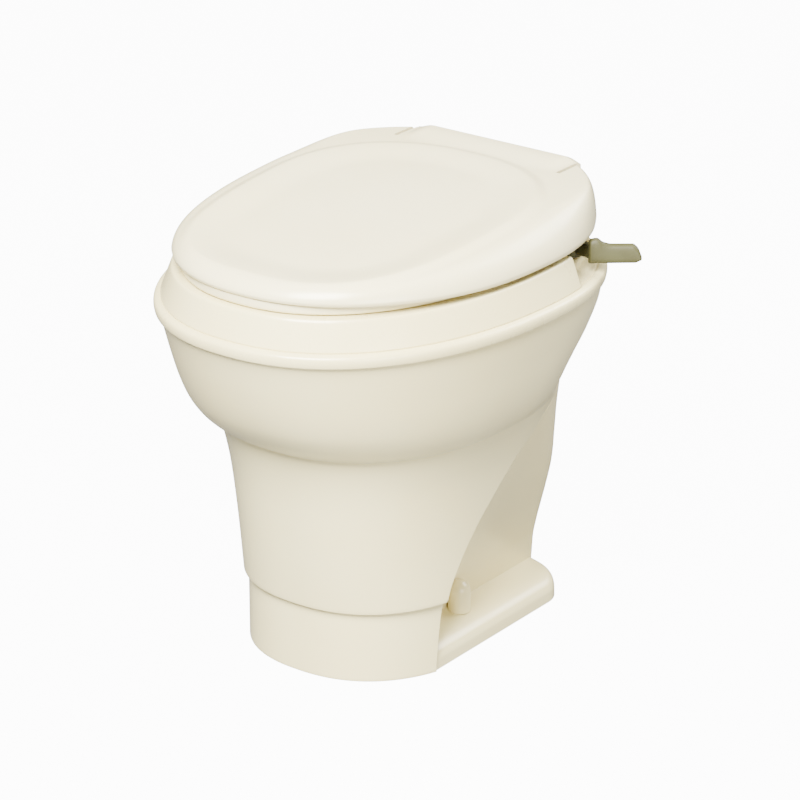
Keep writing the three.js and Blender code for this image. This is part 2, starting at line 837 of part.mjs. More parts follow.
function makeBowl() {
  const round = (radius, height) => level(egg(radius, radius, radius, 0), height);
  const bead = (inset, height) => level(grown(flangeOutline, -inset), height);
  const throatOuter = throatRadius + bowlWall;
  const throatTop = throatBottom + throatFlangeThickness;
  const beadRound = beadHeight / 3;
  const edgeRound = bandEdge / 2;
  const footInset = bandFootInset + shelfThickness;
  const lipInset = shellTopInset - fit;
  const body = loft([
    round(throatRadius, throatBottom),
    round(throatFlangeRadius, throatBottom),
    round(throatFlangeRadius, throatTop),
    round(throatOuter, throatTop),
    ...funnelLevels(bowlWall, rimBottom),
    bead(bandTopInset + bandEdge, rimBottom),
    bead(footInset, beadBottom + shelfThickness),
    bead(footInset, shellTop + fit),
    bead(lipInset, shellTop + fit),
    bead(lipInset, beadBottom),
    bead(lipInset - beadLip, beadBottom),
    bead(0, beadBottom + beadRound),
    bead(0, shelfTop - beadRound),
    bead(beadLip / 2, shelfTop - beadLip / 2),
    bead(bandFootInset, shelfTop),
    bead(bandTopInset - fit, bandTop - edgeRound),
    bead(bandTopInset + edgeRound, bandTop),
    level(grown(mouthOutline, mouthRounding), bandTop),
    ...funnelLevels(0, funnelTop).reverse(),
  ], true);
  const cutHigh = bandTop + overrun;
  const shelfLow = shelfTop - shelfThickness;
  const removed = rearCut(shelfTop, deckTop)
    .subtract(prism(deckOutline, shelfTop - overrun, deckTop))
    .add(rearCut(deckTop, cutHigh));
  const deckInner = grown(deckOutline, -wall);
  const rear = joined([
    between(deckOutline, deckInner, shelfLow, deckTop),
    between(grown(flangeOutline, -bandFootInset), deckInner, shelfLow, shelfTop),
    between(grown(deckOutline, -wall / 2), mouthOutline, deckBottom, deckTop),
  ]).intersect(rearCut(0, deckTop));
  const rimInner = grown(flangeOutline, -bandTopInset);
  const endWalls = between(rimInner, mouthOutline, shelfLow, bandTop - edgeRound).intersect(
    block(-flangeHalfWidth, flangeHalfWidth, bandEnd - wall, bandEnd, 0, cutHigh),
  );
  const grooved = grown(flangeOutline, -grooveInset);
  const groove = between(grooved, grown(grooved, -grooveWidth), shelfTop - grooveDepth, deckTop)
    .intersect(rearCut(0, deckTop));
  const boss = rod("z", bossRadius, gearTop + 2 * fit, deckBottom + fit, leverX, leverY);
  const screwBosses = plateScrewPlaces.map(([x, y]) => rod(
    "z", 2.5 * plateScrewRadius, gearPlateTop + fit, deckBottom + fit, x, y,
  ));
  const up = deckTop + overrun;
  const holes = [
    rod("z", shaftRadius + bushWall + 2 * fit, throatTop, up, leverX, leverY),
    rod("y", rinseTubeRadius + fit, 0, nozzleRear, 0, nozzleHeight),
    ...spigotPlaces.map(([x, y]) => rod("z", spigotRadius + fit, throatTop, up, x, y)),
    ...[-1, 1].map((side) => rod(
      "z", hingeBoltRadius + fit, throatTop, up, side * hingeBoltX, hingeY,
    )),
    ...plateScrewPlaces.map(([x, y]) => rod(
      "z", plateScrewRadius + fit, throatTop, deckBottom - fit, x, y,
    )),
  ];
  return body.subtract(removed)
    .add(joined([rear, endWalls, boss, ...screwBosses]))
    .subtract(joined([groove, ...holes]));
}

// Places that follow from the driving dimensions

const gearPlateTop = gearTop - gearThickness - fit;
const gearPlateBottom = gearPlateTop - gearPlateThickness;
const hingeBoltX = postX - postThickness / 2 - postFootLength / 2;
const spigotPlaces = [[breakerX, breakerY], [breakerX + spigotSpacing, breakerY]];
const pitchRadius = (teeth) => (teeth * gearModule) / 2;

// The idler meshes with both gears: its centre is where two circles cross.
const idlerPlace = (() => {
  const fromLever = pitchRadius(leverTeeth) + pitchRadius(idlerTeeth);
  const fromShaft = pitchRadius(drivenTeeth) + pitchRadius(idlerTeeth);
  const acrossX = shaftX - leverX;
  const acrossY = shaftY - leverY;
  const apart = Math.hypot(acrossX, acrossY);
  const along = (fromLever ** 2 - fromShaft ** 2 + apart ** 2) / (2 * apart);
  const off = Math.sqrt(Math.max(fromLever ** 2 - along ** 2, 0));
  return [
    leverX + (acrossX * along + acrossY * off) / apart,
    leverY + (acrossY * along - acrossX * off) / apart,
  ];
})();
const gearReach = pitchRadius(drivenTeeth) + 2 * gearModule;
const plateScrewPlaces = [
  [(leverX + idlerPlace[0]) / 2, leverY + gearReach],
  [shaftX - gearReach, shaftY + gearReach],
];

// Flush valve: blade, seal and housing, in a stack under the throat

const coverTop = throatBottom - fit;
const coverBottom = coverTop - housingWall;
const sealBottom = coverBottom - fit - sealThickness;
const bladeTop = sealBottom - fit;
const bladeBottom = bladeTop - bladeThickness;
const housingFloorTop = bladeBottom - fit;
const housingFloorBottom = housingFloorTop - housingWall;
const hornTop = housingFloorBottom - fit;

// The blade's plan at a few steps of its swing, with a margin round it.
function bladePath(margin, steps, low, high) {
  const solids = [];
  for (let i = 0; i <= steps; i += 1) {
    const turn = steps ? (-radians(bladeSwing) * i) / steps : 0;
    const x = shaftX - shaftX * Math.cos(turn) + shaftY * Math.sin(turn);
    const y = shaftY - shaftX * Math.sin(turn) - shaftY * Math.cos(turn);
    solids.push(bridged(
      [[x, y, bladeRadius + margin], [shaftX, shaftY, bladeHubRadius + margin]],
      bladeArmWidth + 2 * margin,
      low,
      high,
    ));
  }
  return joined(solids);
}

function makeHousing() {
  const outer = bladePath(housingMargin + housingWall, 3, housingFloorBottom, coverBottom - fit);
  const inner = bladePath(housingMargin, 3, housingFloorTop, coverBottom + overrun);
  const outlet = rod("z", throatRadius, housingFloorBottom - overrun, housingFloorTop + overrun, 0, 0);
  const bearing = rod(
    "z", shaftRadius + fit, housingFloorBottom + housingWall / 4, housingFloorTop + fit,
    shaftX, shaftY,
  );
  return outer.subtract(joined([inner, outlet, bearing]));
}

function makeCover() {
  const plate = bladePath(housingMargin + housingWall, 3, coverBottom, coverTop);
  const hole = rod("z", throatRadius, coverBottom - overrun, coverTop + overrun, 0, 0);
  const bearing = rod(
    "z", shaftRadius + fit, coverBottom - overrun, coverTop + overrun, shaftX, shaftY,
  );
  return plate.subtract(hole.add(bearing));
}

function makeBlade() {
  const bore = rod("z", shaftRadius + fit, bladeBottom - overrun, bladeTop + overrun, shaftX, shaftY);
  return bladePath(0, 0, bladeBottom, bladeTop).subtract(bore);
}

// Waste outlet: a horn with a flange under the housing and a collar on the floor seal
const sealTop = fit + floorSealThickness;

function makeHorn() {
  const outer = hornRadius + hornWall;
  const collarBottom = sealTop + fit;
  const collarTop = collarBottom + hornCollarThickness;
  const flangeBottom = hornTop - hornWall;
  return turned([
    [hornRadius, hornEnd],
    [outer, hornEnd],
    [outer, collarBottom],
    [hornCollarRadius, collarBottom],
    [hornCollarRadius, collarTop],
    [outer, collarTop],
    [outer, flangeBottom],
    [hornFlangeRadius, flangeBottom],
    [hornFlangeRadius, hornTop],
    [hornRadius, hornTop],
    [hornRadius, hornEnd],
  ], 0, 0, 2 * roundSteps);
}

// Shafts and gears

// A spur gear with straight-sided teeth, one of them pointing at the given angle.
function makeGear(teeth, x, y, toothAngle, boreRadius) {
  const pitch = pitchRadius(teeth);
  const root = pitch - 1.25 * gearModule;
  const tip = pitch + 0.85 * gearModule;
  const step = (2 * Math.PI) / teeth;
  const toothShares = [[0.29, root], [0.2, pitch], [0.1, tip]];
  const shape = new THREE.Shape();
  const corners = [];
  for (let i = 0; i < teeth; i += 1) {
    const middle = toothAngle + i * step;
    toothShares.forEach(([half, radius]) => corners.push([middle - half * step, radius]));
    [...toothShares].reverse().forEach(([half, radius]) => corners.push([middle + half * step, radius]));
  }
  shape.setFromPoints(corners.map(([turn, radius]) => new THREE.Vector2(
    x + radius * Math.cos(turn),
    y + radius * Math.sin(turn),
  )));
  const blank = raised(shape, gearTop - gearThickness, gearTop);
  return blank.subtract(rod("z", boreRadius, gearTop - 2 * gearThickness, gearTop + overrun, x, y));
}

// The angle of a tooth on the next gear of a pair, so that it meshes with the one before.
function meshedAngle(from, fromTeeth, fromTooth, to, toTeeth) {
  const line = Math.atan2(to[1] - from[1], to[0] - from[0]);
  const lead = ((fromTooth - line) * fromTeeth) / toTeeth;
  return line + Math.PI - lead + Math.PI / toTeeth;
}

const leverPlace = [leverX, leverY];
const shaftPlace = [shaftX, shaftY];
const leverTooth = 0;
const idlerTooth = meshedAngle(leverPlace, leverTeeth, leverTooth, idlerPlace, idlerTeeth);
const drivenTooth = meshedAngle(idlerPlace, idlerTeeth, idlerTooth, shaftPlace, drivenTeeth);

const springMiddle = gearPlateBottom - fit - springWire / 2 - springHeight / 2;
const springCollarTop = springMiddle - springHeight / 2 - springWire / 2 - fit;

function makeDriveShaft() {
  const shaft = rod("z", shaftRadius, housingFloorBottom + housingWall / 4 + fit, gearTop, shaftX, shaftY);
  const collar = rod(
    "z", springCollarRadius, springCollarTop - springCollarThickness, springCollarTop, shaftX, shaftY,
  );
  return shaft.add(collar);
}

// A helix of round wire between the gear plate and the shaft's collar.
function makeSpring() {
  class Helix extends THREE.Curve {
    getPoint(share, target = new THREE.Vector3()) {
      const turn = 2 * Math.PI * springTurns * share;
      return target.set(
        shaftX + springRadius * Math.cos(turn),
        shaftY + springRadius * Math.sin(turn),
        springMiddle + springHeight * (share - 0.5),
      );
    }
  }
  return tube(new Helix(), springWire / 2, 10 * springTurns, 0, 6);
}

function makeGearPlate() {
  const [idlerX, idlerY] = idlerPlace;
  const pads = [
    [idlerX, idlerY, gearPlateMargin],
    [leverX, leverY, shaftRadius + gearPlateMargin],
    [shaftX, shaftY, shaftRadius + gearPlateMargin],
    ...plateScrewPlaces.map(([x, y]) => [x, y, gearPlateMargin - plateScrewRadius]),
  ];
  const plate = bridged(pads, 2 * gearPlateMargin - 2 * gearModule, gearPlateBottom, gearPlateTop);
  const hole = (radius, [x, y]) => rod(
    "z", radius + fit, gearPlateBottom - overrun, gearPlateTop + overrun, x, y,
  );
  return plate.subtract(joined([
    hole(shaftRadius, leverPlace),
    hole(shaftRadius, shaftPlace),
    hole(idlerPinRadius, idlerPlace),
    ...plateScrewPlaces.map((place) => hole(plateScrewRadius, place)),
  ]));
}

// A screw or pin with a head at one end.
function headed(radius, headRadius, headHeight, from, to, x, y) {
  const headUp = to > from;
  const shank = rod("z", radius, Math.min(from, to), Math.max(from, to), x, y, roundSteps / 2);
  const headLow = headUp ? to : to - headHeight;
  return shank.add(rod("z", headRadius, headLow, headLow + headHeight, x, y, roundSteps / 2));
}

// Lever: hub, arm and a paddle with its raised inner end

function makeLever() {
  const hubBottom = deckTop + 2 * fit;
  const hub = rod("z", leverHubRadius, hubBottom, armTop, leverX, leverY);
  const angle = radians(paddleAngle);
  const rear = [-Math.sin(angle) * (paddleThickness / 2), Math.cos(angle) * (paddleThickness / 2)];
  const reach = paddleThickness / 2;
  const startX = leverX + paddleAside;
  const startY = leverY - paddleAhead;
  const endX = startX + reach * Math.cos(angle) + rear[0];
  const endY = startY + reach * Math.sin(angle) + rear[1];
  const arm = bridged(
    [[leverX, leverY, armWidth / 2], [endX, endY, armWidth / 3]],
    armWidth / 1.5,
    paddleBottom,
    armTop,
  );
  const tipTop = paddleBottom + paddleHeight;
  const outline = [
    [0, paddleBottom],
    [0.86 * paddleLength, paddleBottom],
    [paddleLength, paddleBottom + 0.3 * paddleHeight],
    [0.93 * paddleLength, paddleBottom + 0.88 * paddleHeight],
    [0.8 * paddleLength, tipTop],
    [0.42 * paddleLength, tipTop + 0.08 * paddlePeakRise],
    [0.22 * paddleLength, tipTop + 0.4 * paddlePeakRise],
    [0.1 * paddleLength, tipTop + paddlePeakRise],
    [0.02 * paddleLength, tipTop + 0.8 * paddlePeakRise],
    [-0.02 * paddleLength, tipTop],
  ];
  const paddle = carried(outline, -paddleThickness, 0)
    .rotate([0, 0, paddleAngle - 90])
    .translate([startX, startY, 0]);
  const bore = rod(
    "z", shaftRadius + fit, hubBottom - overrun, armTop - armWidth / 4 + fit, leverX, leverY,
  );
  const screwHole = rod("z", leverScrewRadius + fit, hubBottom, armTop + overrun, leverX, leverY);
  return joined([hub, arm, paddle]).subtract(bore.add(screwHole));
}

// Water valve, its cam and plunger

const plungerHeight = camBottom + camThickness / 2;
const waterValveY = shaftY;

// The cam's edge is a steady spiral through the arc that passes the plunger.
function makeCam() {
  const shape = new THREE.Shape();
  const points = [];
  const rate = camRise / radians(bladeSwing);
  const lead = radians(bladeSwing) / 3;
  const rise = radians(bladeSwing) + 2 * lead;
  const steps = 2 * roundSteps;
  for (let i = 0; i < steps; i += 1) {
    const turn = (2 * Math.PI * i) / steps;
    const climb = Math.min(turn, rise);
    const fall = turn > rise ? Math.min((turn - rise) / lead, 1) : 0;
    const radius = camRest + rate * (climb - lead) * (1 - fall) - rate * lead * fall;
    const at = Math.PI - lead + turn;
    points.push(new THREE.Vector2(shaftX + radius * Math.cos(at), shaftY + radius * Math.sin(at)));
  }
  shape.setFromPoints(points);
  const bore = rod("z", shaftRadius + fit, camBottom - overrun, camBottom + 2 * camThickness, shaftX, shaftY);
  return raised(shape, camBottom, camBottom + camThickness).subtract(bore);
}

function makePlunger() {
  const inner = waterValveRight - plungerInside;
  const profile = [
    [0, inner],
    [plungerRadius, inner],
    [plungerRadius, plungerEnd - plungerRadius],
    [plungerTip, plungerEnd - plungerTip / 4],
    [plungerTip / 2, plungerEnd],
    [0, plungerEnd],
  ];
  const points = profile.map(([radius, along]) => new THREE.Vector2(radius, along));
  const lathe = new THREE.LatheGeometry(points, roundSteps / 2);
  lathe.rotateZ(-Math.PI / 2).translate(0, waterValveY, plungerHeight);
  return solid(lathe);
}

function makeWaterValve() {
  const half = waterValveDepth / 2;
  const low = coverTop + fit;
  const body = block(
    waterValveLeft, waterValveRight, waterValveY - half, waterValveY + half, low, low + waterValveHeight,
  );
  const bore = rod(
    "x", plungerRadius + fit, waterValveRight - plungerInside - camRise - 2 * fit,
    waterValveRight + overrun, waterValveY, plungerHeight,
  );
  const [x, y] = valvePort;
  const port = rod("z", hoseBore, plungerHeight + plungerRadius, low + waterValveHeight + overrun, x, y);
  const inlet = rod("y", inletBore, waterValveY, waterValveY + waterValveDepth, x, plungerHeight);
  return body.subtract(joined([bore, port, inlet]));
}

const valvePort = [waterValveLeft + inletNutAcross / 2, waterValveY];

function makeInlet() {
  const start = waterValveY + waterValveDepth / 2 + fit;
  const [x] = valvePort;
  return rod("y", inletRadius, start, inletReach, x, plungerHeight)
    .subtract(rod("y", inletBore, start - overrun, inletReach + overrun, x, plungerHeight));
}

function makeInletNut() {
  const end = inletReach - inletNutBack;
  const [x] = valvePort;
  return hexagon("y", inletNutAcross, end - inletNutThickness, end, x, plungerHeight)
    .subtract(rod("y", inletRadius + fit, 0, inletReach + overrun, x, plungerHeight));
}

// Held hoses: their routes are points chosen by hand on what they join

const valveTop = coverTop + fit + waterValveHeight;
const spigotEnd = deckTop + fit - spigotLength;

function makeSupplyHose() {
  const [x, y] = valvePort;
  const rise = spigotEnd - valveTop;
  const route = new THREE.CatmullRomCurve3([
    new THREE.Vector3(x, y, valveTop + fit),
    new THREE.Vector3(x, y, valveTop + 0.13 * rise),
    new THREE.Vector3(lerp(x, breakerX, 0.1), lerp(y, breakerY, 0.2), valveTop + 0.38 * rise),
    new THREE.Vector3(lerp(x, breakerX, 0.5), lerp(y, breakerY, 0.7), valveTop + 0.62 * rise),
    new THREE.Vector3(lerp(x, breakerX, 0.9), breakerY, valveTop + 0.8 * rise),
    new THREE.Vector3(breakerX, breakerY, valveTop + 0.92 * rise),
    new THREE.Vector3(breakerX, breakerY, spigotEnd - fit),
  ]);
  return tube(route, hoseRadius, hoseSegments, hoseBore);
}

function makeRinseTube() {
  const [x, y] = spigotPlaces[1];
  const end = nozzleRear + fit;
  const sag = spigotEnd - fit - hoseRadius * 2.5;
  const route = new THREE.CatmullRomCurve3([
    new THREE.Vector3(x, y, spigotEnd - fit),
    new THREE.Vector3(x, y, sag),
    new THREE.Vector3(0.7 * x, lerp(y, end, 0.1), sag - hoseRadius),
    new THREE.Vector3(0.25 * x, lerp(y, end, 0.15), sag),
    new THREE.Vector3(0, lerp(y, end, 0.55), nozzleHeight),
    new THREE.Vector3(0, end, nozzleHeight),
  ]);
  return tube(route, rinseTubeRadius, hoseSegments, rinseTubeBore);
}

function makeBreaker() {
  const low = deckTop + fit;
  const ends = spigotPlaces.map(([x, y]) => [x, y, breakerRadius]);
  const body = bridged(ends, 2 * breakerRadius, low, low + breakerHeight);
  const spigots = spigotPlaces.map(([x, y]) => rod("z", spigotRadius, spigotEnd, low + fit, x, y));
  const bores = spigotPlaces.map(([x, y]) => rod("z", hoseBore, 0, low + breakerHeight / 2, x, y));
  return body.add(joined(spigots)).subtract(joined(bores));
}

// Floor fixings and hinges come in pairs

function makeCap(x) {
  const low = ledgeHeight + fit;
  const inner = capRadius - capWall;
  const crown = low + capHeight;
  return turned([
    [inner, low],
    [capRadius, low],
    [capRadius, crown - capRadius],
    [0.87 * capRadius, crown - 0.5 * capRadius],
    [0.5 * capRadius, crown - 0.13 * capRadius],
    [0, crown],
    [0, crown - capWall],
    [0.5 * inner, crown - capWall - 0.13 * capRadius],
    [0.87 * inner, crown - capWall - 0.5 * capRadius],
    [inner, crown - capRadius],
    [inner, low],
  ], x);
}

function makeHingePost(side) {
  const low = deckTop + fit;
  const inner = postX - postThickness / 2;
  const half = postDepth / 2;
  const profile = [
    [hingeY - half, low],
    [hingeY + half, low],
    [hingeY + postRadius, hingeZ],
    [hingeY + 0.7 * postRadius, hingeZ + 0.7 * postRadius],
    [hingeY, hingeZ + postRadius],
    [hingeY - 0.7 * postRadius, hingeZ + 0.7 * postRadius],
    [hingeY - postRadius, hingeZ],
  ];
  const plate = carried(profile, inner, inner + postThickness);
  const foot = block(
    inner - postFootLength, inner + fit, hingeY - half, hingeY + half, low, low + postFootThickness,
  );
  const cuts = joined([
    rod("x", pinRadius + fit, inner - overrun, inner + 2 * overrun, hingeY, hingeZ),
    rod("z", hingeBoltRadius + fit, low - overrun, low + 2 * overrun, hingeBoltX, hingeY),
  ]);
  return mirrored(plate.add(foot).subtract(cuts), side);
}

// A piece of the +X side, or its mirror image for the other side.
function mirrored(shape, side) {
  return side > 0 ? shape : shape.mirror([1, 0, 0]);
}

const earGap = 2 * fit;
const seatEarOuter = postX - postThickness / 2 - earGap;
const lidEarInner = postX + postThickness / 2 + earGap;

function makeHingePin(side) {
  const start = seatEarOuter - earThickness - fit;
  const end = lidEarInner + earThickness + 2 * fit;
  return mirrored(rod("x", pinRadius, start, end, hingeY, hingeZ), side);
}

function makeHingeBolt(side) {
  const footTop = deckTop + fit + postFootThickness + fit;
  const end = deckBottom - hingeNutHeight - 2 * fit;
  return headed(
    hingeBoltRadius, 2 * hingeBoltRadius, hingeBoltHead, end, footTop, side * hingeBoltX, hingeY,
  );
}

// Seat: a crowned ring, hollow underneath, with an arm to each hinge

// A cylinder's wedge to a hinge ear: from a place on the seat up to the hinge's axis.
function hingeArm(fromY, low, high, x0, x1) {
  const profile = [
    [fromY, low],
    [hingeY - 0.2 * earRadius, hingeZ - earRadius],
    [hingeY, hingeZ + 0.6 * earRadius],
    [fromY, high],
  ];
  return carried(profile, x0, x1).add(rod("x", earRadius, x0, x1, hingeY, hingeZ));
}

const seatOutline = egg(
  seatHalfWidth, lidFront - seatTipInset, lidRear, 0, frontSquareness, rearSquareness,
);
const seatBackOutline = egg(
  seatHalfWidth, lidFront, seatBack - mouthCentre, mouthCentre, frontSquareness, rearSquareness,
);
const seatHole = egg(
  seatHoleHalfWidth, seatHoleFront, seatHoleRear, mouthCentre, frontSquareness, rearSquareness,
);

function makeSeat() {
  const top = seatTop;
  const rise = seatThickness;
  const crown = loft([
    level(grown(seatOutline, -0.1 * rise), seatBottom),
    level(seatOutline, seatBottom + 0.2 * rise),
    level(grown(seatOutline, -0.03 * rise), (y) => lidEdge(y) - 5 * fit),
    level(grown(seatOutline, -lidWall), (y) => lidEdge(y) - fit),
    level(grown(seatOutline, -1.4 * lidWall), seatBottom + 0.8 * rise),
    level(grown(seatOutline, -rise), top),
    level(grown(seatHole, rise), top),
    level(grown(seatHole, 0.4 * rise), seatBottom + 0.9 * rise),
    level(grown(seatHole, 0.1 * rise), seatBottom + 0.65 * rise),
    level(seatHole, seatBottom + 0.3 * rise),
    level(grown(seatHole, 0.1 * rise), seatBottom),
  ], true);
  const back = prism(seatBackOutline, seatBottom - overrun, top + overrun);
  const hollow = between(
    grown(seatOutline, -0.1 * rise - seatWall),
    grown(seatHole, 0.1 * rise + seatWall),
    seatBottom - overrun,
    top - 1.5 * seatWall,
  ).intersect(prism(grown(seatBackOutline, -seatWall), seatBottom - 2 * overrun, top));
  const x0 = seatEarOuter - earThickness;
  const arm = hingeArm(seatBack - 4 * earRadius, top - 2 * seatWall, top - fit, x0, seatEarOuter);
  const pinHole = rod("x", pinRadius + fit, x0 - overrun, seatEarOuter + overrun, hingeY, hingeZ);
  return crown.intersect(back)
    .subtract(hollow)
    .add(arm.add(mirrored(arm, -1)))
    .subtract(pinHole.add(mirrored(pinHole, -1)));
}

// Lid: a shallow dome with a raised oval, a hump over the hinges and a slit beside each plate

const lidTop = (y) => lerp(lidTopFront, lidTopRear, (y + lidFront) / (lidBack + lidFront));
const lidEdge = (y) => lerp(
  lidEdgeFront, lidEdgeRear, Math.min((y + lidFront) / (lidEdgeFallShare * lidFront), 1),
);

function makeLid() {
  const shell = (inset, drop) => {
    const foot = (y) => lidEdge(y) + 1.6 * lidWall;
    const skirt = [
      level(
        grown(lidOutline, -0.4 * lidWall - inset), (y) => lidEdge(y) - overrun * Math.sign(inset),
      ),
      level(grown(lidOutline, -inset), foot),
    ];
    return skirt.concat(lidRollShares.map(([height, reach]) => level(
      grown(lidOutline, -lerp(inset, lidRoll, reach)),
      (y) => lerp(foot(y), lidTop(y) - drop, height),
    )));
  };
  const pillowOutline = egg(
    pillowHalfWidth, pillowFront, pillowRear, pillowCentre, frontSquareness, rearSquareness,
  );
  const pillow = loft([
    level(pillowOutline, (y) => lidTop(y) - lidWall / 2),
    level(grown(pillowOutline, -0.5 * pillowHeight), (y) => lidTop(y) + 0.2 * pillowHeight),
    level(grown(pillowOutline, -2 * pillowHeight), (y) => lidTop(y) + 0.8 * pillowHeight),
    level(grown(pillowOutline, -4 * pillowHeight), (y) => lidTop(y) + pillowHeight),
    level(grown(pillowOutline, -14 * pillowHeight), (y) => lidTop(y) + 0.6 * pillowHeight),
  ]);
  const roof = lidTop(humpFront) - lidWall / 2;
  const hump = carried([
    [humpFront, roof],
    [lidBack - lidWall, roof],
    [lidBack - lidWall, humpRearBottom],
    [lidBack - fit, humpRearBottom],
    [lidBack - fit, humpTop - lidWall],
    [humpRear, humpTop],
  ], -humpHalfWidth, humpHalfWidth);
  const under = block(
    -humpHalfWidth - fit, humpHalfWidth + fit, hingeY + earRadius, lidBack + overrun,
    lidEdgeRear - overrun, humpRearBottom,
  );
  const slit = block(
    humpHalfWidth, lidEarInner, slitFront, lidBack + overrun, lidEdgeRear - overrun, humpTop + overrun,
  );
  const ear = rod("x", earRadius, lidEarInner, lidEarInner + earThickness, hingeY, hingeZ).add(block(
    lidEarInner, lidEarInner + earThickness, hingeY - earRadius, hingeY + earRadius,
    hingeZ, lidTop(hingeY) - lidWall / 2,
  ));
  const pinHole = rod(
    "x", pinRadius + fit, lidEarInner - overrun, lidEarInner + 2 * earThickness, hingeY, hingeZ,
  );
  const rear = block(
    -lidHalfWidth, lidHalfWidth, lidBack - fit, lidBack + lidRear, lidEdgeRear - overrun,
    humpTop + overrun,
  );
  const outside = loft(shell(0, 0));
  const dome = outside.subtract(loft(shell(lidWall, lidWall)));
  return dome.add(pillow)
    .subtract(rear)
    .add(hump)
    .subtract(joined([under, slit, mirrored(slit, -1)]))
    .add(ear.add(mirrored(ear, -1)).intersect(outside))
    .subtract(pinHole.add(mirrored(pinHole, -1)));
}

// Assembly

addPiece("base_casing", makeBaseCasing(), casing());
addPiece("front_shell", makeFrontShell(), casing());
addPiece("bowl", makeBowl(), bowlGloss());

addPiece("floor_seal", ring(
  hornCollarRadius, hornCollarRadius - floorSealWidth, fit, sealTop, 0, 0, 2 * roundSteps,
), rubber());
addPiece("outlet_horn", makeHorn(), innerPlastic());
addPiece("valve_housing", makeHousing(), innerPlastic());
addPiece("valve_cover", makeCover(), innerPlastic());
addPiece("blade_seal", ring(
  throatRadius + sealWidth, throatRadius, sealBottom, coverBottom - fit, 0, 0, 2 * roundSteps,
), rubber());
addPiece("flush_blade", makeBlade(), innerPlastic());
addPiece("drive_shaft", makeDriveShaft(), steel());
addPiece("valve_cam", makeCam(), gearPlastic());
addPiece("driven_gear", makeGear(
  drivenTeeth, shaftX, shaftY, drivenTooth, shaftRadius + fit,
), gearPlastic());
addPiece("idler_gear", makeGear(
  idlerTeeth, ...idlerPlace, idlerTooth, idlerPinRadius + fit,
), gearPlastic());
addPiece("idler_pin", headed(
  idlerPinRadius, 1.6 * idlerPinRadius, idlerPinRadius / 2, gearPlateBottom, gearTop + fit, ...idlerPlace,
), steel());
addPiece("lever_gear", makeGear(
  leverTeeth, leverX, leverY, leverTooth, shaftRadius + fit,
), gearPlastic());
addPiece("lever_shaft", rod(
  "z", shaftRadius, gearPlateBottom, armTop - armWidth / 4, leverX, leverY,
).subtract(rod(
  "z", leverScrewRadius + fit, deckTop, armTop, leverX, leverY,
)), steel());
addPiece("lever_bush", ring(
  shaftRadius + bushWall + fit, shaftRadius + fit, gearTop + 2 * fit, deckTop, leverX, leverY,
), gearPlastic());
addPiece("flush_lever", makeLever(), leverPlastic());
addPiece("lever_screw", headed(
  leverScrewRadius, leverScrewHead, leverScrewRadius, deckTop + fit, armTop + fit, leverX, leverY,
), steel());
addPiece("gear_plate", makeGearPlate(), innerPlastic());
plateScrewPlaces.forEach(([x, y], i) => addPiece(`gear_plate_screw_${i + 1}`, headed(
  plateScrewRadius, 2 * plateScrewRadius, plateScrewRadius, gearPlateTop + plateScrewInside,
  gearPlateBottom - fit, x, y,
), steel()));
addPiece("return_spring", makeSpring(), steel());

addPiece("water_valve", makeWaterValve(), innerPlastic());
addPiece("water_plunger", makePlunger(), brass());
addPiece("water_inlet", makeInlet(), gearPlastic());
addPiece("inlet_nut", makeInletNut(), gearPlastic());
addPiece("supply_hose", makeSupplyHose(), rubber());
addPiece("rinse_tube", makeRinseTube(), rubber());
addPiece("rinse_nozzle", rod("y", rinseTubeRadius, nozzleFront, nozzleRear, 0, nozzleHeight).subtract(
  rod("y", rinseTubeBore, nozzleFront - overrun, nozzleRear + overrun, 0, nozzleHeight),
), gearPlastic());
addPiece("vacuum_breaker", makeBreaker(), gearPlastic());
addPiece("breaker_cap", rod(
  "z", breakerRadius - fit, deckTop + breakerHeight + 2 * fit,
  deckTop + breakerHeight + breakerCapHeight, breakerX, breakerY,
), innerPlastic());

const hands = [["left", -1], ["right", 1]];
hands.forEach(([hand, side]) => {
  const x = (side * boltSpacing) / 2;
  const washerTop = ledgeHeight + fit + washerThickness;
  addPiece(`closet_bolt_${hand}`, headed(
    boltRadius, boltHeadRadius, boltHeadHeight, boltTop, 2 * fit + boltHeadHeight, x, 0,
  ), steel());
  addPiece(`bolt_washer_${hand}`, ring(
    washerRadius, boltRadius + fit, ledgeHeight + fit, washerTop, x,
  ), steel());
  addPiece(`bolt_nut_${hand}`, hexagon(
    "z", nutAcrossFlats, washerTop + fit, washerTop + fit + nutHeight, x, 0,
  ).subtract(rod("z", boltRadius + fit, 0, boltTop + overrun, x, 0)), steel());
  addPiece(`bolt_cap_${hand}`, makeCap(x), casing());
  addPiece(`hinge_post_${hand}`, makeHingePost(side), lidPlastic());
  addPiece(`hinge_pin_${hand}`, makeHingePin(side), steel());
  addPiece(`hinge_bolt_${hand}`, makeHingeBolt(side), steel());
  addPiece(`hinge_nut_${hand}`, ring(
    hingeNutRadius, hingeBoltRadius + fit, deckBottom - fit - hingeNutHeight, deckBottom - fit,
    side * hingeBoltX, hingeY,
  ), gearPlastic());
});

addPiece("seat", makeSeat(), lidPlastic());
addPiece("lid", makeLid(), lidPlastic());
const bumperTop = seatTop - 1.5 * seatWall - fit;
hands.forEach(([hand, side]) => {
  addPiece(`seat_bumper_front_${hand}`, rod(
    "z", bumperRadius, bandTop + fit, bumperTop, side * frontBumperX, frontBumperY,
  ), rubber());
  addPiece(`seat_bumper_rear_${hand}`, rod(
    "z", bumperRadius, bandTop + fit, bumperTop, side * rearBumperX, rearBumperY,
  ), rubber());
  addPiece(`lid_bumper_${hand}`, rod(
    "z", bumperRadius, seatTop + fit,
    lidTop(lidBumperY - bumperRadius) - lidWall - fit, side * lidBumperX, lidBumperY,
  ), rubber());
});

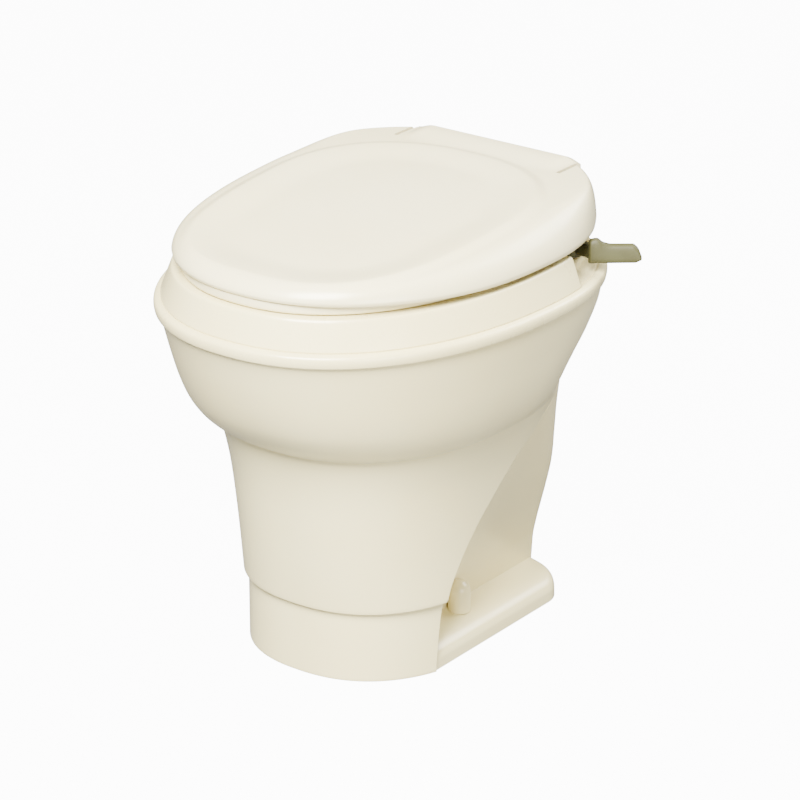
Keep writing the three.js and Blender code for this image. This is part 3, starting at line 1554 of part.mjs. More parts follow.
toilet.position.y = outletSetback;
export default toilet;
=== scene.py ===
import math

import bmesh
import bpy
import numpy as np
from mathutils import Euler, Matrix, Vector


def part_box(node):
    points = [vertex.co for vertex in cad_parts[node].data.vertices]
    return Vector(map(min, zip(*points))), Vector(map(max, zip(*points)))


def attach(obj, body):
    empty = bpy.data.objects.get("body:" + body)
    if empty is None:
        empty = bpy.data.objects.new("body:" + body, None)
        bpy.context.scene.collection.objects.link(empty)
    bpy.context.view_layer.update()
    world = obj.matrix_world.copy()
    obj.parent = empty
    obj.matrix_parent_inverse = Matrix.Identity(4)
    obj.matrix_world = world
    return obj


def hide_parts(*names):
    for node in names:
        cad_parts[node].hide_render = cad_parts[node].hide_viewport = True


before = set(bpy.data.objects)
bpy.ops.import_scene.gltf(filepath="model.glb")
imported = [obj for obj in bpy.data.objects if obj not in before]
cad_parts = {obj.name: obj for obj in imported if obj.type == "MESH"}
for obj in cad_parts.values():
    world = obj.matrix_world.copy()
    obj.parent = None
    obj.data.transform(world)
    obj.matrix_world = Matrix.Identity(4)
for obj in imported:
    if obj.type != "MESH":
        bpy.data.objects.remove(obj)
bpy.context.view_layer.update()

# Sizes of the visible mouldings, taken from the frame where a node's box gives them

SETBACK = 0.095  # the waste outlet lies this far behind the frame's origin
WALL = 0.003
FIT = 0.0003

bowl_low, bowl_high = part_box("bowl")
shell_low, shell_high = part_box("front_shell")
lid_low, lid_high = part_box("lid")
FLANGE_HALF = bowl_high[0]
FLANGE_FRONT = SETBACK - bowl_low[1]
FLANGE_REAR = bowl_high[1] - SETBACK
BAND_TOP = bowl_high[2]
THROAT_BOTTOM = bowl_low[2]
SHELL_FOOT = shell_low[2]
SHELL_TOP = shell_high[2]
CREASE = SHELL_FOOT + 0.1664  # where the pedestal ends and the bulge begins
BEAD_BOTTOM = SHELL_TOP - 0.0015
SHELF_TOP = BEAD_BOTTOM + 0.013
DECK_TOP = SHELF_TOP + 0.0085
BAND_END = 0.045
SQUARES = FRONT_SQUARE, REAR_SQUARE = 2.21, 2.31  # exponents of an oval's front and rear
PEDESTAL_CENTRE = -0.0147
SEAM_START, SEAM_END = -0.084, 0.104
MOUTH_HALF, MOUTH_FRONT, MOUTH_REAR, MOUTH_CENTRE = 0.130, 0.150, 0.135, -0.075
THROAT_RADIUS = 0.036
BOLT_X = 0.0762  # the floor bolts' distance from the mid-plane
SIDES = ((-1, "left"), (1, "right"))

ROUND = 288  # columns round a large moulding
MERGE = 1e-6  # points nearer than this are one
SLIVER = 1e-7
SHARP = 35  # degrees between two faces that make a crease


# Curves and outlines


def smooth_curve(knots, values, at):
    """A monotone cubic through the knots: each slope is the harmonic mean of its two chords."""
    knots, values, at = (np.asarray(a, float) for a in (knots, values, at))
    steps = np.diff(knots)
    chords = np.diff(values) / steps
    slopes = np.empty_like(values)
    slopes[0], slopes[-1] = chords[0], chords[-1]
    product = chords[:-1] * chords[1:]
    total = chords[:-1] + chords[1:]
    safe = np.where(product > 0, total, 1.0)
    slopes[1:-1] = np.where(product > 0, 2 * product / safe, 0.0)
    at = np.clip(at, knots[0], knots[-1])
    cell = np.clip(np.searchsorted(knots, at, side="right") - 1, 0, len(steps) - 1)
    width = steps[cell]
    s = (at - knots[cell]) / width
    rise = s * s * (3 - 2 * s)
    return (
        values[cell] * (1 - rise)
        + values[cell + 1] * rise
        + width * slopes[cell] * s * (1 - s) ** 2
        - width * slopes[cell + 1] * s * s * (1 - s)
    )


def smooth_step(low, high, value):
    """0 below low, 1 above high, and 3s^2 - 2s^3 between."""
    s = np.clip((value - low) / (high - low), 0, 1)
    return s * s * (3 - 2 * s)


def mix(a, b, share):
    return a + (b - a) * share


def signed_power(value, power):
    return np.sign(value) * np.abs(value) ** power


def oval(half_width, front, rear, centre, turn, squares=SQUARES):
    """x = W sgn(sin t)|sin t|^(2/n), y = c - L sgn(cos t)|cos t|^(2/n).

    L and n have one value in the front half and another in the rear half.
    """
    ahead = np.cos(turn)
    square = np.where(ahead > 0, *squares)
    reach = np.where(ahead > 0, front, rear)
    x = half_width * signed_power(np.sin(turn), 2 / square)
    return x, centre - reach * signed_power(ahead, 2 / square)


def oval_side(half_width, front, rear, centre, y, squares=SQUARES):
    """The oval's x at a place y: W (1 - |(y - c) / L|^n)^(1/n)."""
    reach = np.where(y < centre, front, rear)
    square = np.where(y < centre, *squares)
    share = np.clip(np.abs(y - centre) / reach, 0, 1)
    return half_width * (1 - share**square) ** (1 / square)


def turns(count):
    return np.linspace(0, 2 * np.pi, count, endpoint=False)


def row_at(x, y, z):
    """Points from three coordinates, each a single number or one per point."""
    return np.stack(np.broadcast_arrays(x, y, z), -1)


def oval_row(half_width, front, rear, grow, z, turn, centre=0, squares=SQUARES):
    """An oval grown all round by a length, at a height."""
    return row_at(*oval(half_width + grow, front + grow, rear + grow, centre, turn, squares), z)


def lifted(level, profile):
    """A profile's points (across, up) with their heights counted from a level."""
    return [(across, level + up) for across, up in profile]


def fillet(corners, radii, steps):
    """A polyline with rounded corners, each a quadratic curve between its tangent points."""
    corners = [np.asarray(c, float) for c in corners]
    path = [corners[0]]
    for before, corner, after, radius in zip(corners, corners[1:], corners[2:], radii):
        start, end = (
            corner + way * min(radius / np.linalg.norm(way), 0.48)
            for way in (before - corner, after - corner)
        )
        for s in np.linspace(0, 1, steps if radius else 1):
            path.append((1 - s) ** 2 * start + 2 * s * (1 - s) * corner + s * s * end)
    path.append(corners[-1])
    return np.array(path)


# Meshes


def close_holes(shape):
    """Fills a mesh's open rims and turns its faces outward."""
    holes = [e for e in shape.edges if e.is_boundary]
    bmesh.ops.holes_fill(shape, edges=holes, sides=0)
    bmesh.ops.recalc_face_normals(shape, faces=shape.faces)


def shade(mesh, sharp=SHARP):
    mesh.shade_smooth()
    mesh.set_sharp_from_angle(angle=math.radians(sharp))


def new_object(name, mesh, sharp=SHARP):
    shade(mesh, sharp)
    obj = bpy.data.objects.new(name, mesh)
    bpy.context.scene.collection.objects.link(obj)
    return obj


def grid_piece(name, points, ring=True, tube=False, sharp=SHARP, is_closed=True):
    """A mesh over a grid of rows and columns: columns join up if ring, rows join up if tube."""
    points = np.array(points, float)
    rows, columns = points.shape[:2]
    points[..., 1] += SETBACK
    row = np.arange(rows if tube else rows - 1)
    column = np.arange(columns if ring else columns - 1)
    r, c = np.meshgrid(row, column, indexing="ij")
    down, across = (r + 1) % rows, (c + 1) % columns
    corners = ((r, c), (r, across), (down, across), (down, c))
    quads = np.stack([i * columns + j for i, j in corners], -1)
    mesh = bpy.data.meshes.new(name)
    mesh.from_pydata(points.reshape(-1, 3).tolist(), [], quads.reshape(-1, 4).tolist())
    shape = bmesh.new()
    shape.from_mesh(mesh)
    bmesh.ops.remove_doubles(shape, verts=shape.verts, dist=MERGE)
    bmesh.ops.dissolve_degenerate(shape, edges=shape.edges, dist=SLIVER)
    if is_closed:
        close_holes(shape)
    shape.to_mesh(mesh)
    shape.free()
    return new_object(name, mesh, sharp)


def face_out(obj, outward_from):
    """Turns an open sheet's faces away from a point inside the piece."""
    mesh = obj.data
    centre = Vector(outward_from)
    lean = sum((p.center - centre).dot(p.normal) * p.area for p in mesh.polygons)
    if lean < 0:
        mesh.flip_normals()


def cut_plane(obj, y, normal):
    """Cuts a closed mesh across at y, drops the side the normal points to, and closes the cut."""
    shape = bmesh.new()
    shape.from_mesh(obj.data)
    everything = shape.verts[:] + shape.edges[:] + shape.faces[:]
    bmesh.ops.bisect_plane(
        shape, geom=everything, dist=SLIVER, plane_co=(0, SETBACK + y, 0), plane_no=(0, normal, 0),
        clear_outer=True,
    )
    close_holes(shape)
    shape.to_mesh(obj.data)
    shape.free()
    shade(obj.data)


def thicken(obj, edge=0.0008):
    """A wall behind a sheet's outer face, with its rims rounded."""
    wall = obj.modifiers.new("wall", "SOLIDIFY")
    wall.thickness = WALL
    wall.offset = -1
    wall.use_even_offset = True
    bevel = obj.modifiers.new("soft edges", "BEVEL")
    bevel.width = edge
    bevel.segments = 3
    bevel.limit_method = "ANGLE"
    bevel.angle_limit = math.radians(50)


def bake(obj):
    """Keeps what the modifiers make as the piece's own mesh."""
    graph = bpy.context.evaluated_depsgraph_get()
    mesh = bpy.data.meshes.new_from_object(obj.evaluated_get(graph))
    obj.modifiers.clear()
    obj.data = mesh


def carve(obj, cutter):
    """Takes a closed cutter's volume out of a piece."""
    cut = obj.modifiers.new("cut", "BOOLEAN")
    cut.operation = "DIFFERENCE"
    cut.solver = "EXACT"
    cut.object = cutter
    bpy.context.view_layer.update()
    bake(obj)
    bpy.data.objects.remove(cutter)
    shade(obj.data)


def box_piece(name, low, high):
    """A closed block between two corners, for cutting."""
    across, along, up = zip(low, high)
    points = [(x, SETBACK + y, z) for x in across for y in along for z in up]
    sides = [(0, 1, 3, 2), (4, 6, 7, 5), (0, 4, 5, 1), (2, 3, 7, 6), (0, 2, 6, 4), (1, 5, 7, 3)]
    mesh = bpy.data.meshes.new(name)
    mesh.from_pydata(points, [], sides)
    return new_object(name, mesh)


def turned(name, profile, x, y=0.0, count=48, sharp=SHARP):
    """A profile of radius and height turned about an upright axis."""
    profile = np.asarray(profile, float)
    turn = turns(count)
    radius, height = profile[:, :1], profile[:, 1:]
    points = row_at(x + radius * np.sin(turn), y - radius * np.cos(turn), height)
    return grid_piece(name, points, sharp=sharp)


# Front shell and skirt

BULGE_KNOTS = [0, 0.03, 0.09, 0.18, 0.3, 0.46, 0.64, 0.83, 1]
BULGE_WIDTH = [0, 0.12, 0.27, 0.43, 0.57, 0.7, 0.81, 0.92, 1]
BULGE_FRONT = [0, 0.12, 0.26, 0.42, 0.57, 0.7, 0.81, 0.91, 1]
BULGE_REAR = [0, 0, 0, 0, 0.02, 0.1, 0.3, 0.6, 1]
BULGE_SQUARE = [2.46, 2.2, 2.02, 1.94, 1.97, 2.12, 2.37, 2.48, 2.34]
PEDESTAL_KNOTS = [0, 0.22, 0.46, 0.72, 0.9, 1]
PEDESTAL_WIDTH = [0, 0.03, 0.13, 0.34, 0.68, 1]
PEDESTAL_FRONT = [0, 0.2, 0.41, 0.65, 0.86, 1]
PEDESTAL_REAR = [0, 0.3, 0.6, 0.82, 0.95, 1]
SEAM_ALONG = [0, 0.02, 0.05, 0.11, 0.22, 0.36, 0.52, 0.7, 0.86, 1]
SEAM_UP = [0, 0.2, 0.34, 0.45, 0.585, 0.7, 0.805, 0.895, 0.96, 1]
UNDER_BEAD = 0.0047  # the shell's top lies this far inside the flange
# The oval's half-width, tip and back: at the foot, the crease and the top, and how it gets there
SHELL_REACHES = [
    (0.125, 0.143, FLANGE_HALF - UNDER_BEAD, PEDESTAL_WIDTH, BULGE_WIDTH),
    (0.1657, 0.1902, FLANGE_FRONT - UNDER_BEAD, PEDESTAL_FRONT, BULGE_FRONT),
    (0.0853, 0.1633, FLANGE_REAR - UNDER_BEAD, PEDESTAL_REAR, BULGE_REAR),
]


def shell_outline(z, inset=0.0):
    """The shell's oval at a height: half-width, front, rear, centre, front and rear squareness."""
    low = (z - SHELL_FOOT) / (CREASE - SHELL_FOOT)
    high = (z - CREASE) / (SHELL_TOP - CREASE)

    def way_up(foot, crease, top, low_shares, high_shares):
        below = mix(foot, crease, smooth_curve(PEDESTAL_KNOTS, low_shares, low))
        above = mix(crease, top, smooth_curve(BULGE_KNOTS, high_shares, high))
        return np.where(low < 1, below, above)

    centre = way_up(PEDESTAL_CENTRE, PEDESTAL_CENTRE, 0, PEDESTAL_WIDTH, BULGE_WIDTH)
    half, tip, back = (way_up(*reach) for reach in SHELL_REACHES)
    square = way_up(REAR_SQUARE, REAR_SQUARE, FRONT_SQUARE, PEDESTAL_WIDTH, BULGE_WIDTH)
    below = mix(REAR_SQUARE, BULGE_SQUARE[0], smooth_step(0.7, 1, low))
    rear_square = np.where(low < 1, below, smooth_curve(BULGE_KNOTS, BULGE_SQUARE, high))
    return half - inset, tip + centre - inset, back - centre - inset, centre, square, rear_square


def seam_y(z):
    """Where the shell's rear edge runs at a height."""
    return mix(SEAM_START, SEAM_END, smooth_curve(SEAM_UP, SEAM_ALONG, z / CREASE))


def make_shell():
    """Each column climbs from the foot, or from the seam found by halving, to the bead."""
    turn = turns(2 * ROUND)

    def place(z):
        half, front, rear, centre, *squares = shell_outline(z)
        return oval(half, front, rear, centre, turn, squares)

    low = np.full_like(turn, SHELL_FOOT)
    high = np.full_like(turn, CREASE)
    is_behind = place(low)[1] > seam_y(low)
    for _ in range(40):
        middle = (low + high) / 2
        behind = place(middle)[1] > seam_y(middle)
        low, high = np.where(behind, middle, low), np.where(behind, high, middle)
    start = np.where(is_behind, high, SHELL_FOOT)
    heights = [mix(start, CREASE, share) for share in np.linspace(0, 1, 40)]
    heights += [mix(CREASE, SHELL_TOP, share**1.5) for share in np.linspace(0, 1, 49)[1:]]
    rows = [row_at(*place(z), z) for z in heights]
    shell = grid_piece("shell_moulding", rows, is_closed=False)
    face_out(shell, (0, SETBACK, 0.2))
    thicken(shell)
    return shell


def make_skirt():
    """Rows of the skirt's oval, each running round the front from seam to seam, and its floor."""
    half, front, rear = 0.1203, 0.1463, 0.0953
    lap = 0.013  # how far it reaches up inside the shell
    floor_low, floor_high = 0.0002, 0.006
    rows = []
    for z in np.linspace(0, SHELL_FOOT + lap, 24):
        reach = ((PEDESTAL_CENTRE - seam_y(z)) / front) ** (REAR_SQUARE / 2)
        turn = np.linspace(-1, 1, ROUND) * math.acos(min(reach, 1))
        rows.append(
            oval_row(half, front, rear, 0, z, turn, PEDESTAL_CENTRE, (REAR_SQUARE, REAR_SQUARE))
        )
    skirt = grid_piece("skirt_moulding", rows, ring=False, is_closed=False)
    face_out(skirt, (0, SETBACK - 0.05, 0.04))
    thicken(skirt)
    edge_x, edge_y = rows[0][:, 0], rows[0][:, 1]
    inside = [mix(SEAM_START, edge_y, share) for share in np.linspace(0, 0.985, 6)]
    sheets = [
        row_at(edge_x, y, z)
        for z, order in ((floor_low, inside), (floor_high, inside[::-1]))
        for y in order
    ]
    return skirt, grid_piece("skirt_floor", sheets, ring=False, tube=True)


# Foot and column

FOOT_HEIGHTS = [0, 0.35, 0.58, 0.72, 0.8, 0.85, 0.9, 1]
FOOT_INSETS = [0, 0.01, 0.06, 0.16, 0.3, 0.5, 0.72, 1]
FOOT_TOP, FLOOR_TOP = 0.028, 0.006
OUTLET_RADIUS = 0.0546
# Radii and heights of the seat for the bolt's cap, and of the bolt's own stepped hole
CAP_SEAT = [(0, 0.024), (0.011, 0.024), (0.0135, 0.032), (0, 0.032)]
BOLT_HOLE = [
    (0, -0.01), (0.0063, -0.01), (0.0063, 0.0029), (0.0038, 0.0029), (0.0038, 0.04), (0, 0.04),
]
COLUMN_HEIGHTS = [0, 0.12, 0.22, 0.3, 0.38, 0.46, 0.6, 0.75, 0.9, 1]
# The column's half-width, rear and corner radius: at the floor, at the crease, and the way there
COLUMN_SIZES = [
    (0.063, 0.122, [0, 0.03, 0.09, 0.18, 0.28, 0.39, 0.58, 0.75, 0.9, 1]),
    (0.145, 0.160, [0, 0, 0, 0, 0.07, 0.13, 0.2, 0.4, 0.75, 1]),
    (0.007, 0.084, [0, 0, 0.05, 0.09, 0.14, 0.2, 0.33, 0.58, 0.85, 1]),
]
FLARE_POINTS = 60


def rounded_rectangle(half_width, front, rear, corner, quarter=24):
    """Four quarter circles joined by straight sides, from the middle of the front by way of +X."""
    arc = np.linspace(0, np.pi / 2, quarter)
    side = half_width - corner
    starts = [
        (side, corner - front, -np.pi / 2), (side, rear - corner, 0),
        (-side, rear - corner, np.pi / 2), (-side, corner - front, np.pi),
    ]
    x = np.concatenate([cx + corner * np.cos(start + arc) for cx, cy, start in starts])
    y = np.concatenate([cy + corner * np.sin(start + arc) for cx, cy, start in starts])
    return x, y


def make_foot():
    """Rounded rectangles up over the foot's edge, then down inside the column to the outlet."""
    half, front, rear, corner = 0.1085, 0.114, 0.142, 0.034
    side_slope, rear_slope, top_corner = 0.0495, 0.001, 0.007
    near_square = rounded_rectangle(0.0535, 0.0535, 0.0535, 0.05)
    turn = np.arctan2(near_square[1], near_square[0])
    outlet = OUTLET_RADIUS * np.cos(turn), OUTLET_RADIUS * np.sin(turn)
    rows = [row_at(*outlet, 0)]
    for share in np.linspace(0, 1, 40):
        inset = smooth_curve(FOOT_HEIGHTS, FOOT_INSETS, share)
        outline = rounded_rectangle(
            half - side_slope * inset, front, rear - rear_slope * inset,
            mix(corner, top_corner, inset),
        )
        rows.append(row_at(*outline, FOOT_TOP * share))
    inside = rounded_rectangle(0.0585, 0.110, 0.138, 0.006)
    rows += [row_at(*inside, FOOT_TOP), row_at(*inside, FLOOR_TOP), row_at(*outlet, FLOOR_TOP)]
    foot = grid_piece("foot_moulding", rows, tube=True, sharp=50)
    for x in (-BOLT_X, BOLT_X):
        carve(foot, turned("pad", CAP_SEAT, x))
        carve(foot, turned("hole", BOLT_HOLE, x))
    return foot


def column_section(z):
    """Half of the column's section: a side that flares to the shell's edge, a corner and the back.

    It starts inside the shell's wall low down, and further up flush with it, behind a gap.
    """
    share = z / CREASE
    half, rear, corner = (
        mix(foot, crease, smooth_curve(COLUMN_HEIGHTS, way, share))
        for foot, crease, way in COLUMN_SIZES
    )
    step, lap, gap = 0.001, 0.0002, 0.0012
    slope = float(seam_y(z + step) - seam_y(z - step)) / (2 * step)
    flush = float(smooth_step(0.11, 0.19, z))
    start = float(seam_y(z)) + mix(lap, gap * math.hypot(1, slope), flush)
    inset = mix(WALL + 0.0008, 0.0004, flush)
    outer, front, back, centre, *squares = shell_outline(max(z, SHELL_FOOT), inset)
    edge = float(oval_side(outer, front, back, centre, start, squares))
    on_foot = 0.106  # the widest that the flare may reach low down
    edge = mix(min(edge, on_foot), edge, smooth_step(0.06, 0.1, z))
    side_end = rear - corner
    y_side = mix(start, max(side_end, start + 0.002), np.linspace(0, 1, FLARE_POINTS) ** 1.3)
    past = np.clip((y_side - side_end) / corner, 0, 1)
    x_side = half - corner + corner * np.sqrt(1 - past**2)
    flare = (1 - smooth_step(0, mix(0.03, 0.05, share), y_side - start)) ** 2
    x_side += (edge - x_side[0]) * flare
    arc = np.linspace(np.arcsin(past[-1]), np.pi / 2, 30)[1:]
    x_back = np.linspace(half - corner, 0, 20)[1:]
    x = np.concatenate([x_side, half - corner + corner * np.cos(arc), x_back])
    y = np.concatenate([y_side, side_end + corner * np.sin(arc), np.full(len(x_back), rear)])
    return x, y


def make_column():
    """Mirrored sections from inside the foot up to the crease, with an opening in the back."""
    rows = []
    for z in np.linspace(0.020, CREASE - 0.0004, 90):
        x, y = column_section(z)
        rows.append(row_at(np.concatenate([x, -x[-2::-1]]), np.concatenate([y, y[-2::-1]]), z))
    column = grid_piece("column_moulding", rows, ring=False, is_closed=False)
    face_out(column, (0, SETBACK + 0.05, 0.12))
    thicken(column, 0.0006)
    bake(column)
    half, low, high, corner = 0.044, 0.058, 0.218, 0.014
    x, z = rounded_rectangle(half, -low, high, corner, 10)
    carve(column, grid_piece("opening", [row_at(x, y, z) for y in (0.12, 0.2)]))
    return column


# Bowl moulding

FUNNEL_KNOTS = [0, 0.05, 0.13, 0.24, 0.38, 0.54, 0.7, 0.86, 1]
FUNNEL_GROWTH = [0, 0.1, 0.26, 0.43, 0.59, 0.74, 0.85, 0.95, 1]
FUNNEL_BOTTOM = THROAT_BOTTOM + 0.014
FUNNEL_TOP = BAND_TOP - 0.004
FUNNEL_WALL = 0.0045
COLLAR_RADIUS, COLLAR_DEPTH = 0.058, 0.007
DECK = (0.158, 0.266, 0.184)  # half-width, front and rear
DECK_SQUARES = (FRONT_SQUARE, 2.6)
END_WALL = 0.0035


def flange_row(inset, z, turn):
    return oval_row(FLANGE_HALF, FLANGE_FRONT, FLANGE_REAR, -inset, z, turn)


def funnel_row(z, turn, out=0.0):
    """The cavity's outline: the throat's circle grown towards the mouth's oval."""
    share = (z - FUNNEL_BOTTOM) / (FUNNEL_TOP - FUNNEL_BOTTOM)
    growth = float(smooth_curve(FUNNEL_KNOTS, FUNNEL_GROWTH, share))
    centre = MOUTH_CENTRE * growth
    return oval_row(
        mix(THROAT_RADIUS, MOUTH_HALF, growth),
        mix(THROAT_RADIUS, MOUTH_FRONT - MOUTH_CENTRE, growth) + centre,
        mix(THROAT_RADIUS, MOUTH_REAR + MOUTH_CENTRE, growth) - centre,
        out, z, turn, centre, (mix(2, FRONT_SQUARE, growth), mix(2, REAR_SQUARE, growth)),
    )


def make_bead():
    """The flange's bead, shelf and lip: one closed profile of inset and height round the oval."""
    profile = fillet(
        [
            (0.040, SHELF_TOP - 0.0055), (0.0118, SHELF_TOP - 0.0055), (0.0118, SHELL_TOP + FIT),
            (0.0044, SHELL_TOP + FIT), (0.0044, BEAD_BOTTOM), (0.0012, BEAD_BOTTOM),
            (0.0, BEAD_BOTTOM + 0.0055),
            *lifted(SHELF_TOP, [(0.0008, -0.0022), (0.0052, 0), (0.0082, 0), (0.0088, -0.0014),
                                (0.0104, -0.0014), (0.0110, 0), (0.040, 0)]),
        ],
        [0, 0, 0, 0, 0.0014, 0.003, 0.004, 0.003, 0.0004, 0.0006, 0.0006, 0.0004],
        5,
    )
    rows = [flange_row(inset, z, turns(2 * ROUND)) for inset, z in profile]
    return grid_piece("bead_and_shelf", rows, tube=True, sharp=60)


def cavity_rows(lip, heights, turn):
    """Over a rim's rounded lip, down the cavity to the shelf, and round to the wall's back."""
    mouth = MOUTH_HALF, MOUTH_FRONT, MOUTH_REAR
    rows = [oval_row(*mouth, grow, z, turn, MOUTH_CENTRE) for grow, z in lip[:-1]]
    rows += [funnel_row(z, turn) for z in heights]
    return rows + [funnel_row(SHELF_TOP, turn, FUNNEL_WALL)]


def make_band():
    """The leaning wall and its rim, down to the cavity, cut where it ends at the side."""
    turn = turns(2 * ROUND)
    outer = fillet(
        [(0.0100, SHELF_TOP - 0.002), (0.0064, SHELF_TOP + 0.0006), (0.0171, BAND_TOP - 0.0005),
         (0.0200, BAND_TOP), (0.0330, BAND_TOP)],
        [0.0015, 0.0035, 0.003], 8,
    )
    rows = [flange_row(inset, z, turn) for inset, z in outer]
    lip = fillet(lifted(BAND_TOP, [(0.012, 0), (0, 0), (0, -0.012)]), [0.006], 8)
    rows += cavity_rows(lip, np.linspace(FUNNEL_TOP - 0.004, SHELF_TOP, 8), turn)
    rows += [
        funnel_row(BAND_TOP - 0.006, turn, FUNNEL_WALL), flange_row(0.0255, BAND_TOP - 0.005, turn),
        flange_row(0.0155, SHELF_TOP - 0.002, turn),
    ]
    band = grid_piece("band_and_rim", rows, tube=True, sharp=50)
    cut_plane(band, BAND_END, 1)
    return band


def make_deck():
    """The lowered deck behind the band: a rounded step up from the shelf, then a plate inward."""
    turn = turns(2 * ROUND)

    def row(inset, z):
        return oval_row(*DECK, -inset, z, turn, 0, DECK_SQUARES)

    profile = fillet(
        [(0.0, SHELF_TOP - 0.005), (0.0004, DECK_TOP), (0.030, DECK_TOP)], [0.0035], 8
    )
    rows = [row(inset, z) for inset, z in profile]
    lip = fillet(lifted(DECK_TOP, [(0.010, 0), (0, 0), (-0.0012, -0.010)]), [0.004], 6)
    rows += cavity_rows(lip, (DECK_TOP - 0.005, SHELF_TOP), turn)
    rows += [
        funnel_row(DECK_TOP - 0.005, turn, FUNNEL_WALL), row(0.004, DECK_TOP - 0.005),
        row(0.004, SHELF_TOP - 0.005),
    ]
    deck = grid_piece("hinge_deck", rows, tube=True, sharp=50)
    cut_plane(deck, BAND_END - END_WALL, -1)
    return deck


def make_end_wall():
    """The upright wall that closes the space under the rim where the band ends."""
    y, inset, lean = BAND_END - 0.0002, 0.0165, 0.009
    outer = oval_side(FLANGE_HALF - inset, FLANGE_FRONT - inset, FLANGE_REAR - inset, 0, y)
    x = np.linspace(-1, 1, 60) * mix(outer + lean, outer, np.linspace(0, 1, 8))[:, None]
    z = np.linspace(SHELF_TOP - 0.004, BAND_TOP - 0.003, 8)[:, None]
    rows = np.concatenate([row_at(x, y - END_WALL, z), row_at(x, y, z)[::-1]])
    return grid_piece("band_end_wall", rows, ring=False, tube=True)


def make_cup():
    """The cavity below the shelf, with the throat and the collar round it."""
    turn = turns(ROUND)
    heights = np.linspace(FUNNEL_BOTTOM, SHELF_TOP, 60)
    top = THROAT_BOTTOM + COLLAR_DEPTH
    rows = [
        oval_row(radius, radius, radius, 0, z, turn, squares=(2, 2))
        for radius, z in (
            (THROAT_RADIUS, THROAT_BOTTOM), (COLLAR_RADIUS, THROAT_BOTTOM),
            (COLLAR_RADIUS, top), (THROAT_RADIUS + 0.005, top),
        )
    ]
    rows += [funnel_row(z, turn, FUNNEL_WALL) for z in heights]
    rows += [funnel_row(z, turn) for z in heights[::-1]]
    return grid_piece("cavity", rows, tube=True, sharp=60)


# Seat and lid

HINGE_Y, HINGE_Z = 0.150, 0.428
SEAT_BOTTOM, SEAT_TOP = 0.4022, 0.4162
SEAT_HOLE = (0.112, 0.130, 0.115)  # half-width, front and rear from the mouth's centre
SEAT_BACK = 0.118
SEAT_WALL = 0.0062  # from the ring's crown to its hollow underside
ARM_X = 0.0866
LID_HALF = lid_high[0]
LID_FRONT = SETBACK - lid_low[1]
LID_REAR = FLANGE_REAR - 0.004
LID_BACK = lid_high[1] - SETBACK
LID_ROUND = 520
LID_WALL = 0.0034
# The lid's top without its raised parts rises from the front and levels out at the rear
LID_ALONG = [-0.245, -0.19, -0.12, -0.035, 0.06, 0.12, 0.175]
LID_RISE = [0.4245, 0.4278, 0.4322, 0.4385, 0.4444, 0.4462, 0.4464]
# The rolled shoulder's width at the front, along the sides, and its share of that at the rear
ROLL_FRONT, ROLL_SIDE, ROLL_REAR = 0.013, 0.034, 0.3
PILLOW_HALF, PILLOW_FRONT, PILLOW_REAR, PILLOW_CENTRE = 0.144, 0.216, 0.147, -0.020
PILLOW_SQUARE = 2.7
DISH_DEPTH = 0.0042
HUMP_TOP = lid_high[2] - 0.0001
HUMP_HALF = 0.0952
HUMP_END_FALL, HUMP_REAR_FALL = 0.0042, 0.0035
SLIT_END = 0.0998
EAR_END, EAR_RADIUS = 0.1088, 0.009


def lid_outline(turn, inset=0.0):
    return oval(LID_HALF - inset, LID_FRONT - inset, LID_REAR - inset, 0, turn)


def lid_edge(y):
    """The skirt's lower edge: it falls from the front to the sides, then runs level."""
    return mix(0.412, 0.407, smooth_step(-LID_FRONT, -0.061, y))


def oval_radius(x, y, half, front, rear, centre=0, squares=SQUARES):
    """A point's share of the way out to an oval: (|x / W|^n + |(y - c) / L|^n)^(1/n)."""
    reach = np.where(y < centre, front, rear)
    square = np.where(y < centre, *squares)
    return (np.abs(x / half) ** square + np.abs((y - centre) / reach) ** square) ** (1 / square)


def lid_depth(x, y):
    """Roughly how far a point lies inside the lid's edge, as a length."""
    reach = np.where(y < 0, LID_FRONT, LID_REAR)
    share = oval_radius(x, y, LID_HALF, LID_FRONT, LID_REAR)
    return (1 - share) * mix(LID_HALF, reach, np.clip(np.abs(y) / reach, 0, 1) ** 2)


def pillow_depth(x, y):
    """Roughly how far a point lies inside the raised oval, as a length, negative outside."""
    radius = oval_radius(
        x, y, PILLOW_HALF, PILLOW_FRONT, PILLOW_REAR, PILLOW_CENTRE, (PILLOW_SQUARE, REAR_SQUARE)
    )
    return (1 - radius) * mix(0.145, 0.2, smooth_step(-0.06, -0.2, y))


def lid_top(x, y, wall=0.0):
    """The lid's outer face, or its inner face a wall lower.

    A shoulder rolls up from the edge to the lid's level. On it lie a raised oval with a soft rim
    and a dish, and a hump over the hinges whose ends fall a little.
    """
    roll = mix(ROLL_FRONT, ROLL_SIDE, smooth_step(-0.22, 0.0, y))
    roll = roll * mix(1, ROLL_REAR, smooth_step(0.03, 0.125, y))
    share = np.clip(lid_depth(x, y) / roll, 0, 1)
    level = smooth_curve(LID_ALONG, LID_RISE, y)
    shoulder = mix(lid_edge(y) + 0.0024, level, (1 - (1 - share) ** 2.4) ** (1 / 1.75))
    depth = pillow_depth(x, y)
    rim = mix(0.0032, 0.0036, smooth_step(-0.2, -0.1, y)) * smooth_step(-0.004, 0.010, depth)
    z = shoulder + rim - DISH_DEPTH * smooth_step(0.006, 0.050, depth)
    ends = HUMP_END_FALL * smooth_step(0.076, HUMP_HALF, np.abs(x)) ** 1.5
    crest = HUMP_TOP - HUMP_REAR_FALL * smooth_step(0.163, LID_BACK, y) - ends
    hump = mix(z, crest, smooth_step(0.122, 0.158, y))
    return np.where(np.abs(x) < HUMP_HALF + 0.001 - wall, np.maximum(hump, z), z) - wall


